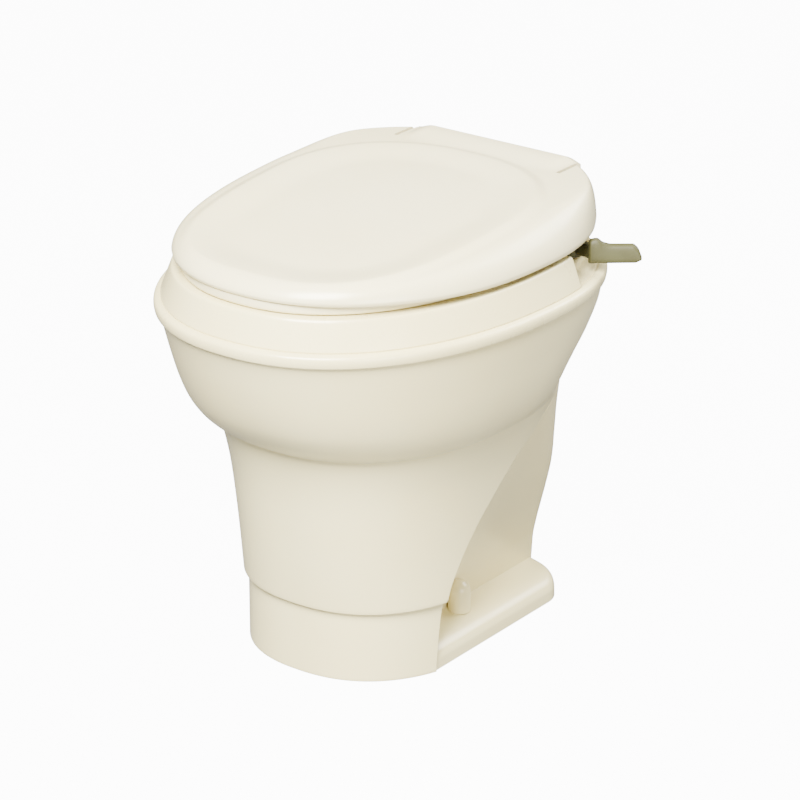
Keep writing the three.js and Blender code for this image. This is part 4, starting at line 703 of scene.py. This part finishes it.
def lid_row(share, inset, drop):
    """A ring of the lid's roof at a share of the way out from its middle."""
    x, y = lid_outline(turns(LID_ROUND), inset)
    x, y = x * share, mix(PILLOW_CENTRE, y, share)
    return row_at(x, y, lid_top(x, y, drop))


def make_lid():
    """Rows from the middle of the roof to the edge, down the skirt, and back along the inside.

    A slit at each end of the hump, and an opening under its rear for the hinge, are cut out.
    """
    turn = turns(LID_ROUND)
    shares = 1 - (1 - np.linspace(0, 1, 100)) ** 1.7
    rows = [lid_row(share, 0.0002, 0) for share in shares]
    roof_edge = rows[-1][:, 2]
    bottom = lid_edge(lid_outline(turn)[1])
    for share in np.linspace(0, 1, 6)[1:]:
        z = mix(roof_edge, bottom + 0.0006, share)
        rows.append(row_at(*lid_outline(turn, 0.0009 * share**2), z))
    for inset, lift in ((0.0014, 0.0), (0.0030, 0.0), (0.0036, 0.0006)):
        rows.append(row_at(*lid_outline(turn, inset), bottom + lift))
    for share in shares[::-3]:
        row = lid_row(share, 0.0036, LID_WALL)
        row[:, 2] = np.maximum(row[:, 2], bottom + 0.0012)
        rows.append(row)
    lid = grid_piece("lid_moulding", rows, sharp=40)
    behind, below, above = 0.21, 0.38, 0.46
    for left, right in ((-SLIT_END, -HUMP_HALF), (HUMP_HALF, SLIT_END)):
        carve(lid, box_piece("slit", (left, 0.127, below), (right, behind, above)))
    opening = (-HUMP_HALF, HINGE_Y + EAR_RADIUS, below), (HUMP_HALF, behind, 0.433)
    carve(lid, box_piece("under", *opening))
    cut_plane(lid, LID_BACK - 0.0003, 1)
    return lid


def make_lid_ear(side, word):
    """A disc on the hinge's axis with a web up into the roof, cut to the roof's own curve."""
    soft = 0.0006
    turn = np.linspace(-np.pi, np.pi, 48, endpoint=False)
    y = HINGE_Y + EAR_RADIUS * np.sin(turn)
    z = HINGE_Z - EAR_RADIUS * np.cos(turn)
    rows = []
    stations = (SLIT_END, soft), (SLIT_END + soft, 0), (EAR_END - soft, 0), (EAR_END, soft)
    for x, pull in stations:
        roof = lid_top(np.full_like(y, x), y) - 0.0016
        top = np.where(np.abs(turn) > np.pi / 2, roof, np.minimum(z, roof))
        share = pull / EAR_RADIUS
        rows.append(row_at(side * x, mix(y, HINGE_Y, share), mix(top, HINGE_Z, share)))
    return grid_piece(f"lid_ear_{word}", rows, sharp=50)


def make_seat():
    """A crowned ring, whose outer edge is the nearer of the seat's oval and its back's oval."""
    turn = turns(2 * ROUND)
    middle = MOUTH_CENTRE
    ahead_x, ahead_y = np.sin(turn), -np.cos(turn)

    def reach(half, front, rear, centre):
        """The distance along each direction to an oval, found by halving."""
        low, high = np.zeros_like(turn), np.full_like(turn, 0.5)
        for _ in range(40):
            r = (low + high) / 2
            x, y = r * ahead_x, middle + r * ahead_y
            is_in = oval_radius(x, y, half, front, rear, centre) < 1
            low, high = np.where(is_in, r, low), np.where(is_in, high, r)
        return low

    half = LID_HALF - 0.014
    around = reach(half, LID_FRONT - 0.002, LID_REAR, 0)
    behind = reach(half, LID_FRONT, SEAT_BACK - middle, middle)
    blend = 0.0015  # rounds the corner where the two ovals cross
    outer = -np.log(np.exp(-around / blend) + np.exp(-behind / blend)) * blend
    outer = np.minimum(outer, np.minimum(around, behind))
    hole = reach(*SEAT_HOLE, middle)
    shoulder = lid_edge(middle + outer * ahead_y)
    profile = [
        (outer - 0.0014, SEAT_BOTTOM), (outer - 0.0003, SEAT_BOTTOM + 0.0010),
        (outer, SEAT_BOTTOM + 0.0028), (outer - 0.0005, shoulder - 0.0016),
        (outer - 0.0030, shoulder - 0.0004),
    ]
    for angle in np.linspace(0.12, np.pi, 28)[:-1]:
        share = (1 - math.cos(angle)) / 2
        radius = mix(outer - 0.0036, hole + 0.0004, share)
        side = mix(shoulder, SEAT_TOP - 0.0066, share)
        profile.append((radius, mix(side, SEAT_TOP - 0.0001, np.sin(angle) ** 0.5)))
    profile += [
        (hole, SEAT_BOTTOM + 0.0055), (hole + 0.0003, SEAT_BOTTOM + 0.0015),
        (hole + 0.0014, SEAT_BOTTOM), (hole + 0.0050, SEAT_BOTTOM),
        (hole + 0.0058, SEAT_TOP - SEAT_WALL), (outer - 0.0092, SEAT_TOP - SEAT_WALL),
        (outer - 0.0056, SEAT_BOTTOM),
    ]
    rows = [row_at(radius * ahead_x, middle + radius * ahead_y, z) for radius, z in profile]
    return grid_piece("seat_ring", rows, tube=True, sharp=50)


def make_seat_arm(side, word):
    """A flat arm from under the ring up to the hinge's axis, its long edges slightly bevelled."""
    profile = fillet(
        [(0.082, SEAT_TOP - 0.008), (HINGE_Y - 0.002, HINGE_Z - 0.009),
         (HINGE_Y + 0.009, HINGE_Z - 0.007), (HINGE_Y + 0.0088, HINGE_Z + 0.008),
         (HINGE_Y - 0.004, HINGE_Z + 0.0088), (0.100, SEAT_TOP - 0.0004),
         (0.082, SEAT_TOP - 0.0004)],
        [0.006, 0.01, 0.01, 0.01, 0.02], 6,
    )
    middle = profile.mean(0)
    sheets = []
    for across, scale in ((0, 0.985), (0.0007, 1), (0.0080, 1), (0.0087, 0.985)):
        y, z = (middle + (profile - middle) * scale).T
        sheets.append(row_at(side * (ARM_X + across), y, z))
    return grid_piece(f"seat_arm_{word}", sheets, sharp=50)


# Lever and bolt caps

LEVER_X, LEVER_Y = 0.135, 0.098
PADDLE_ANGLE = math.radians(38.7)
PADDLE_LENGTH = 0.050
PADDLE_DEPTH = 0.0054
PADDLE_LEAN = 0.0012
PADDLE_BOTTOM, TIP_TOP, PEAK = DECK_TOP + 0.002, DECK_TOP + 0.0196, DECK_TOP + 0.0258
PADDLE_ALONG = [-0.02, 0.06, 0.14, 0.26, 0.42, 0.82, 0.92, 1]
PADDLE_TOP = [
    PEAK - 0.0030, PEAK - 0.0004, PEAK, TIP_TOP + 0.0022, TIP_TOP + 0.0002, TIP_TOP,
    TIP_TOP - 0.0036, PADDLE_BOTTOM + 0.0052,
]
# The hub's radii and heights above the deck, with a smaller hole at the top for the screw
HUB = [
    (0.0053, 0.0006), (0.013, 0.0006), (0.013, 0.018), (0.0026, 0.018), (0.0026, 0.012),
    (0.0053, 0.012), (0.0053, 0.0006),
]


def lever_section(centre, across, half, low, top, power, lean=0.0):
    """A squarish oval round a centre, of a half-width, from low to top, with its top leaning."""
    turn = turns(40)
    up = signed_power(np.sin(turn), power)
    x, y = (centre + np.outer(half * signed_power(np.cos(turn), power) + lean * up, across)).T
    return row_at(x, y, (top + low) / 2 + (top - low) / 2 * up)


def make_lever():
    """A paddle whose top climbs to a peak and falls to the tip, an arm, and a turned hub."""
    along = np.array([math.cos(PADDLE_ANGLE), math.sin(PADDLE_ANGLE)])
    behind = np.array([-math.sin(PADDLE_ANGLE), math.cos(PADDLE_ANGLE)])
    start = np.array([LEVER_X + 0.0333, LEVER_Y - 0.0184])
    rows = []
    for share in np.linspace(-0.018, 1, 60):
        top = smooth_curve(PADDLE_ALONG, PADDLE_TOP, share)
        low = PADDLE_BOTTOM + 0.0026 * smooth_step(0.86, 1, share)
        tip = 0.9 * smooth_step(0.955, 1.0, share) ** 3
        inner_end = 0.45 * (1 - smooth_step(-0.02, 0.02, share))
        centre = start + along * PADDLE_LENGTH * share + behind * 0.0055
        half = PADDLE_DEPTH * (1 - tip - inner_end)
        rows.append(lever_section(centre, behind, half, low, top, 2 / 3.4, PADDLE_LEAN))
    paddle = grid_piece("lever_paddle", rows, sharp=60)
    root = np.array([LEVER_X, LEVER_Y])
    line = start + along * 0.007 + behind * 0.006 - root
    normal = np.array([-line[1], line[0]]) / np.linalg.norm(line)
    rows = []
    for share in np.linspace(0, 1, 24):
        half = mix(0.0064, 0.0044, smooth_step(0, 1, share))
        top = mix(DECK_TOP + 0.018, DECK_TOP + 0.0165, smooth_step(0.2, 0.9, share))
        low = mix(DECK_TOP + 0.0022, DECK_TOP + 0.004, share)
        rows.append(lever_section(root + line * share, normal, half, low, top, 0.6))
    arm = grid_piece("lever_arm", rows, sharp=60)
    hub = fillet(lifted(DECK_TOP, HUB), [0.0008, 0.0025, 0.0004, 0, 0], 5)
    return paddle, arm, turned("lever_hub", hub, LEVER_X, LEVER_Y)


def make_bolt_cap(side, word):
    """A thin dome on a straight wall, open underneath."""
    low, height, radius, wall = 0.0243, 0.032, 0.0110, 0.001
    middle = low + height - radius
    turn = np.linspace(0, np.pi / 2, 14)
    outer, inner = (
        np.stack([r * np.cos(turn), middle + r * np.sin(turn)], -1) for r in (radius, radius - wall)
    )
    foot = (radius - wall, low)
    profile = [foot, (radius + 0.0001, low), *outer, *inner[::-1], foot]
    return turned(f"bolt_dome_{word}", profile, side * BOLT_X, 0.0, 64, 50)


# Effects that several finishes share

COLOUR, NUMBER = "NodeSocketColor", "NodeSocketFloat"
MIX_FACTOR, MIX_FIRST, MIX_SECOND = 0, 6, 7  # the Mix node's sockets for colours


def effect(name, outputs, **inputs):
    """An empty node group. A tuple makes a colour input, and the output Tone is a colour too."""
    group = bpy.data.node_groups.new(name, "ShaderNodeTree")
    for label, value in inputs.items():
        kind = COLOUR if isinstance(value, tuple) else NUMBER
        label = label.replace("_", " ")
        group.interface.new_socket(label, in_out="INPUT", socket_type=kind).default_value = value
    for label in outputs:
        kind = COLOUR if label == "Tone" else NUMBER
        group.interface.new_socket(label, in_out="OUTPUT", socket_type=kind)
    return group, group.nodes.new("NodeGroupInput").outputs, group.nodes.new("NodeGroupOutput")


def fill(tree, socket, value):
    """Links a socket to another node's output, or sets its own value."""
    if isinstance(value, bpy.types.NodeSocket):
        tree.links.new(value, socket)
    else:
        socket.default_value = value


def feed(tree, node, **values):
    """Fills a node's inputs by label, an underscore standing for a space."""
    for label, value in values.items():
        fill(tree, node.inputs[label.replace("_", " ")], value)


def stretched(tree, scale):
    """The piece's own coordinates, scaled along each axis."""
    mapping = tree.nodes.new("ShaderNodeMapping")
    place = tree.nodes.new("ShaderNodeTexCoord").outputs["Object"]
    feed(tree, mapping, Vector=place, Scale=scale)
    return mapping.outputs["Vector"]


def split(tree, vector):
    """The X, Y and Z of a vector."""
    node = tree.nodes.new("ShaderNodeSeparateXYZ")
    tree.links.new(vector, node.inputs[0])
    return node.outputs


def noise(tree, scale, detail, roughness=0.5, stretch=(1, 1, 1)):
    """A noise over the piece's own coordinates, with a linked or a fixed scale."""
    texture = tree.nodes.new("ShaderNodeTexNoise")
    vector = stretched(tree, stretch)
    feed(tree, texture, Vector=vector, Scale=scale, Detail=detail, Roughness=roughness)
    return texture.outputs["Fac"]


def remap(tree, value, low, high, to_low=0.0, to_high=1.0):
    """Stretches low..high to the new range, with a soft start and end."""
    node = tree.nodes.new("ShaderNodeMapRange")
    node.interpolation_type = "SMOOTHSTEP"
    feed(tree, node, Value=value, From_Min=low, From_Max=high, To_Min=to_low, To_Max=to_high)
    return node.outputs["Result"]


def blend_colours(tree, share, first, second):
    node = tree.nodes.new("ShaderNodeMix")
    node.data_type = "RGBA"
    for place, value in ((MIX_FACTOR, share), (MIX_FIRST, first), (MIX_SECOND, second)):
        fill(tree, node.inputs[place], value)
    return node.outputs[2]


def calculate(tree, operation, *values):
    node = tree.nodes.new("ShaderNodeMath")
    node.operation = operation
    for socket, value in zip(node.inputs, values):
        fill(tree, socket, value)
    return node.outputs[0]


def plus(tree, first, second):
    return calculate(tree, "ADD", first, second)


def times(tree, first, second):
    return calculate(tree, "MULTIPLY", first, second)


def make_moulded_skin():
    """Slow drifts of tone over a moulding, an uneven gloss, and the faint waviness of the mould."""
    tree, start, end = effect(
        "moulded skin", ("Tone", "Gloss", "Relief"), Tone=(0.8, 0.78, 0.7, 1),
        Warm_Tone=(0.78, 0.75, 0.65, 1), Drift_Scale=7, Gloss_Low=0.1, Gloss_High=0.2,
        Wave_Scale=60, Peel_Scale=900,
    )
    drift = remap(tree, noise(tree, start["Drift Scale"], 3), 0.35, 0.68)
    tone = blend_colours(tree, drift, start["Tone"], start["Warm Tone"])
    patch = noise(tree, times(tree, start["Drift Scale"], 4.5), 5, 0.62)
    gloss = remap(tree, patch, 0.36, 0.7, start["Gloss Low"], start["Gloss High"])
    wave = noise(tree, start["Wave Scale"], 1)
    peel = noise(tree, start["Peel Scale"], 2)
    relief = plus(tree, wave, times(tree, peel, 0.16))
    feed(tree, end, Tone=tone, Gloss=gloss, Relief=relief)
    return tree


def make_hairlines():
    """Fine wiping scratches: a noise drawn out along one way, thinned to a few lines."""
    tree, start, end = effect("hairlines", ("Lines",), Amount=0.4, Scale=160)
    fine = noise(tree, start["Scale"], 3, 0.6, (1, 0.12, 1.4))
    cross = noise(tree, start["Scale"], 3, 0.6, (0.1, 1.2, 0.8))
    lines = calculate(tree, "MAXIMUM", remap(tree, fine, 0.62, 0.7), remap(tree, cross, 0.64, 0.72))
    worn = times(tree, lines, remap(tree, noise(tree, 14, 2), 0.45, 0.65))
    feed(tree, end, Lines=times(tree, worn, start["Amount"]))
    return tree


def make_settled_dust():
    """A mask of dust: strongest low down and on faces that look up, broken up by a fine noise."""
    tree, start, end = effect("settled dust", ("Dust",), Amount=0.3, Height=0.03)
    coordinates = tree.nodes.new("ShaderNodeTexCoord").outputs
    low = remap(tree, split(tree, coordinates["Object"])["Z"], start["Height"], 0.0)
    up = remap(tree, split(tree, coordinates["Normal"])["Z"], 0.3, 1.0, 0.15, 1.0)
    grain = remap(tree, noise(tree, 220, 5, 0.7), 0.42, 0.7, 0.35, 1.0)
    mask = times(tree, times(tree, low, up), grain)
    feed(tree, end, Dust=times(tree, mask, start["Amount"]))
    return tree


def make_drawn_metal():
    """The die lines and dull patches of drawn or turned metal."""
    tree, start, end = effect(
        "drawn metal", ("Tone", "Gloss", "Relief"), Bright=(0.7, 0.7, 0.7, 1),
        Dull=(0.5, 0.5, 0.5, 1), Line_Scale=500,
    )
    lines = noise(tree, start["Line Scale"], 3, 0.6, (0.08, 0.08, 1))
    patch = remap(tree, noise(tree, 90, 4, 0.6), 0.4, 0.66)
    tone = blend_colours(tree, patch, start["Bright"], start["Dull"])
    gloss = plus(tree, times(tree, patch, 0.16), remap(tree, lines, 0.3, 0.7, 0.2, 0.36))
    feed(tree, end, Tone=tone, Gloss=gloss, Relief=lines)
    return tree


moulded_skin = make_moulded_skin()
hairlines = make_hairlines()
settled_dust = make_settled_dust()
drawn_metal = make_drawn_metal()


# Finishes


def linear(red, green, blue):
    """A colour as the eye reads it, 0 to 255, as linear light."""
    channels = [c / 255 for c in (red, green, blue)]
    light = [c / 12.92 if c <= 0.04045 else ((c + 0.055) / 1.055) ** 2.4 for c in channels]
    return (*light, 1)


def new_finish(name):
    material = bpy.data.materials.new(name)
    material.use_nodes = True
    tree = material.node_tree
    shader = next(n for n in tree.nodes if n.type == "BSDF_PRINCIPLED")
    return material, tree, shader


def place_effect(tree, group, **values):
    node = tree.nodes.new("ShaderNodeGroup")
    node.node_tree = group
    feed(tree, node, **values)
    return node.outputs


def raised(tree, height, distance):
    """The normal of a relief whose full height is a distance."""
    bump = tree.nodes.new("ShaderNodeBump")
    feed(tree, bump, Distance=distance, Height=height)
    return bump.outputs["Normal"]


def moulded_finish(
    name, tone, warm, gloss, coat=0.0, scatter=0.0, relief=0.00006, drift=7, wave=45,
    scratches=0.1, dust=0.0, dust_height=0.03, shine=0.5,
):
    """Moulded plastic: tone drift, uneven gloss, mould waviness, wiping hairlines and low dust."""
    material, tree, shader = new_finish(name)
    skin = place_effect(
        tree, moulded_skin, Tone=linear(*tone), Warm_Tone=linear(*warm), Drift_Scale=drift,
        Gloss_Low=gloss[0], Gloss_High=gloss[1], Wave_Scale=wave,
    )
    lines = place_effect(tree, hairlines, Amount=scratches)["Lines"]
    dusty = place_effect(tree, settled_dust, Amount=dust, Height=dust_height)["Dust"]
    rough = plus(tree, skin["Gloss"], times(tree, lines, 0.25))
    feed(
        tree, shader,
        Base_Color=blend_colours(tree, dusty, skin["Tone"], linear(176, 168, 150)),
        Roughness=plus(tree, rough, times(tree, dusty, 0.5)),
        Normal=raised(tree, skin["Relief"], relief),
        Coat_Weight=coat, Coat_Roughness=0.22, IOR=1.5, Specular_IOR_Level=shine,
        Subsurface_Weight=scatter, Subsurface_Radius=(1.0, 0.72, 0.4), Subsurface_Scale=0.004,
    )
    return material


def metal_finish(name, bright, dull, scale):
    """Drawn or turned metal."""
    material, tree, shader = new_finish(name)
    metal = place_effect(
        tree, drawn_metal, Bright=linear(*bright), Dull=linear(*dull), Line_Scale=scale
    )
    feed(
        tree, shader, Base_Color=metal["Tone"], Roughness=metal["Gloss"], Metallic=1.0,
        Normal=raised(tree, metal["Relief"], 0.00005),
    )
    return material


def hose_finish():
    """A braided hose: slanting ribs that cross round the tube, over a grey jacket."""
    material, tree, shader = new_finish("braided hose")
    weave = 1.0
    for lean in ((900, 1500, 1300), (900, -1500, 1300), (-900, 1500, 1300)):
        parts = split(tree, stretched(tree, lean))
        total = plus(tree, plus(tree, parts["X"], parts["Y"]), parts["Z"])
        rib = calculate(tree, "ABSOLUTE", calculate(tree, "SINE", total))
        weave = times(tree, weave, rib)
    feed(
        tree, shader, Metallic=0.35, Roughness=remap(tree, weave, 0, 1, 0.62, 0.38),
        Base_Color=blend_colours(tree, weave, linear(150, 150, 148), linear(205, 205, 202)),
        Normal=raised(tree, weave, 0.0003),
    )
    return material


def rubber_finish(name, tone, worn):
    """Dull rubber with an uneven skin and dust."""
    material, tree, shader = new_finish(name)
    skin = place_effect(
        tree, moulded_skin, Tone=linear(*tone), Warm_Tone=linear(*worn), Drift_Scale=40,
        Gloss_Low=0.5, Gloss_High=0.75, Wave_Scale=260, Peel_Scale=2400,
    )
    dusty = place_effect(tree, settled_dust, Amount=0.4, Height=0.2)["Dust"]
    feed(
        tree, shader, Roughness=skin["Gloss"], Normal=raised(tree, skin["Relief"], 0.00012),
        Base_Color=blend_colours(tree, dusty, skin["Tone"], linear(120, 115, 105)),
    )
    return material


CREAM, CREAM_WARM = (226, 214, 160), (225, 211, 154)

# What each slot wears, and the few nodes of the frame that have a finish of their own
FINISHES = {
    "casing": moulded_finish(
        "casing gloss", CREAM, CREAM_WARM, (0.28, 0.38), coat=0.3, scatter=0.02, dust=0.2,
    ),
    "bowl_gloss": moulded_finish(
        "bowl gloss", CREAM, CREAM_WARM, (0.26, 0.34), coat=0.3, scatter=0.02, drift=6,
        scratches=0.04,
    ),
    "lid_plastic": moulded_finish(
        "lid gloss", (227, 217, 174), (226, 215, 168), (0.28, 0.38), coat=0.3, scatter=0.08,
        drift=5, wave=30, scratches=0.12,
    ),
    "lever_plastic": moulded_finish(
        "lever plastic", (68, 67, 39), (63, 61, 35), (0.48, 0.58), relief=0.00003, drift=30,
        wave=140, scratches=0.25, shine=0.25,
    ),
    "inner_plastic": moulded_finish(
        "inner plastic", (214, 212, 204), (204, 200, 188), (0.32, 0.48), drift=20, wave=120,
        scratches=0.35, relief=0.0001, dust=0.35, dust_height=0.3,
    ),
    "gear_plastic": moulded_finish(
        "gear plastic", (226, 221, 204), (214, 207, 184), (0.3, 0.45), drift=40, wave=200,
        scratches=0.4,
    ),
    "rubber": rubber_finish("dark rubber", (38, 37, 36), (52, 50, 47)),
    "steel": metal_finish("stainless steel", (205, 205, 203), (176, 175, 171), 520),
    "brass": metal_finish("brass", (214, 182, 112), (178, 146, 86), 430),
}
bumper_finish = rubber_finish("pale bumper rubber", (205, 203, 196), (190, 186, 174))
valve_finish = moulded_finish(
    "valve plastic", (52, 53, 55), (62, 62, 62), (0.3, 0.45), drift=26, wave=150,
    scratches=0.4, dust=0.3, dust_height=0.4,
)
OWN_FINISH = {
    "supply_hose": hose_finish(),
    "rinse_tube": FINISHES["inner_plastic"],
    "flush_blade": moulded_finish(
        "blade plastic", (58, 60, 62), (66, 67, 68), (0.25, 0.4), drift=30, wave=120,
        scratches=0.5,
    ),
    "valve_housing": valve_finish,
    "valve_cover": valve_finish,
}


# Pieces


def wear(piece, body, slot, node):
    """Gives a new piece its slot's finish and its body, and hides the node it stands for."""
    piece.data.materials.clear()
    piece.data.materials.append(FINISHES[slot])
    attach(piece, body)
    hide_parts(node)


wear(make_shell(), "base", "casing", "front_shell")
for piece in (*make_skirt(), make_foot(), make_column()):
    wear(piece, "base", "casing", "base_casing")
for piece in (make_bead(), make_band(), make_deck(), make_end_wall(), make_cup()):
    wear(piece, "base", "bowl_gloss", "bowl")
for piece in (make_seat(), *(make_seat_arm(*side) for side in SIDES)):
    wear(piece, "seat", "lid_plastic", "seat")
for piece in (make_lid(), *(make_lid_ear(*side) for side in SIDES)):
    wear(piece, "lid", "lid_plastic", "lid")
for piece in make_lever():
    wear(piece, "lever", "lever_plastic", "flush_lever")
for side, word in SIDES:
    wear(make_bolt_cap(side, word), "base", "casing", f"bolt_cap_{word}")

for name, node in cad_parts.items():
    for place in node.material_slots:
        finish = OWN_FINISH.get(name, FINISHES[place.material.name.split(".")[0]])
        place.material = bumper_finish if "bumper" in name else finish


# Floor, light and camera


def make_floor():
    """A round pale floor that the camera sees as white."""
    turn = turns(96)
    rows = [row_at(r * np.sin(turn), -r * np.cos(turn), 0) for r in (0.0, 3, 8, 20, 60)]
    floor = grid_piece("floor", rows, is_closed=False)
    material, tree, shader = new_finish("pale floor")
    drift = remap(tree, noise(tree, 3, 4), 0.3, 0.7)
    rays = tree.nodes.new("ShaderNodeLightPath").outputs
    feed(
        tree, shader, Roughness=0.6, Emission_Color=(1, 1, 1, 1),
        Base_Color=blend_colours(tree, drift, linear(96, 96, 96), linear(92, 92, 92)),
        Emission_Strength=times(tree, rays["Is Camera Ray"], 12.0),
    )
    floor.data.materials.append(material)


def area_light(name, place, width, height, power):
    """A rectangular lamp that looks at the middle of the toilet."""
    lamp = bpy.data.lights.new(name, "AREA")
    lamp.shape = "RECTANGLE"
    lamp.size, lamp.size_y = width, height
    lamp.energy = power
    obj = bpy.data.objects.new(name, lamp)
    bpy.context.scene.collection.objects.link(obj)
    obj.location = place
    look = Vector((0, 0.02, 0.22)) - Vector(place)
    obj.rotation_euler = look.to_track_quat("-Z", "Y").to_euler()


def make_light():
    """A dim white room: a large soft lamp high in front, faint ones overhead, right and behind."""
    world = bpy.data.worlds.new("studio")
    world.use_nodes = True
    feed(world.node_tree, world.node_tree.nodes["Background"], Color=(1, 1, 1, 1), Strength=0.07)
    bpy.context.scene.world = world
    area_light("key", (0.62, -1.8, 2.4), 1.5, 1.5, 640)
    area_light("overhead", (-0.3, 0.3, 2.2), 1.8, 1.8, 15)
    area_light("right fill", (1.9, -0.9, 0.5), 1.2, 0.8, 42)
    area_light("back fill", (0.9, 2.0, 2.0), 1.6, 1.2, 105)


def make_camera():
    """A long lens from the front right, looking down on the lid."""
    azimuth, elevation = 36.87, 22.46
    lens = bpy.data.cameras.new("camera")
    lens.lens = 164.4
    lens.sensor_width = 36
    camera = bpy.data.objects.new("camera", lens)
    bpy.context.scene.collection.objects.link(camera)
    turn = Euler((math.radians(90 - elevation), 0, math.radians(azimuth)))
    camera.matrix_world = Matrix.LocRotScale((1.972146, -2.529870, 1.585314), turn, None)
    bpy.context.scene.camera = camera


make_floor()
make_light()
make_camera()
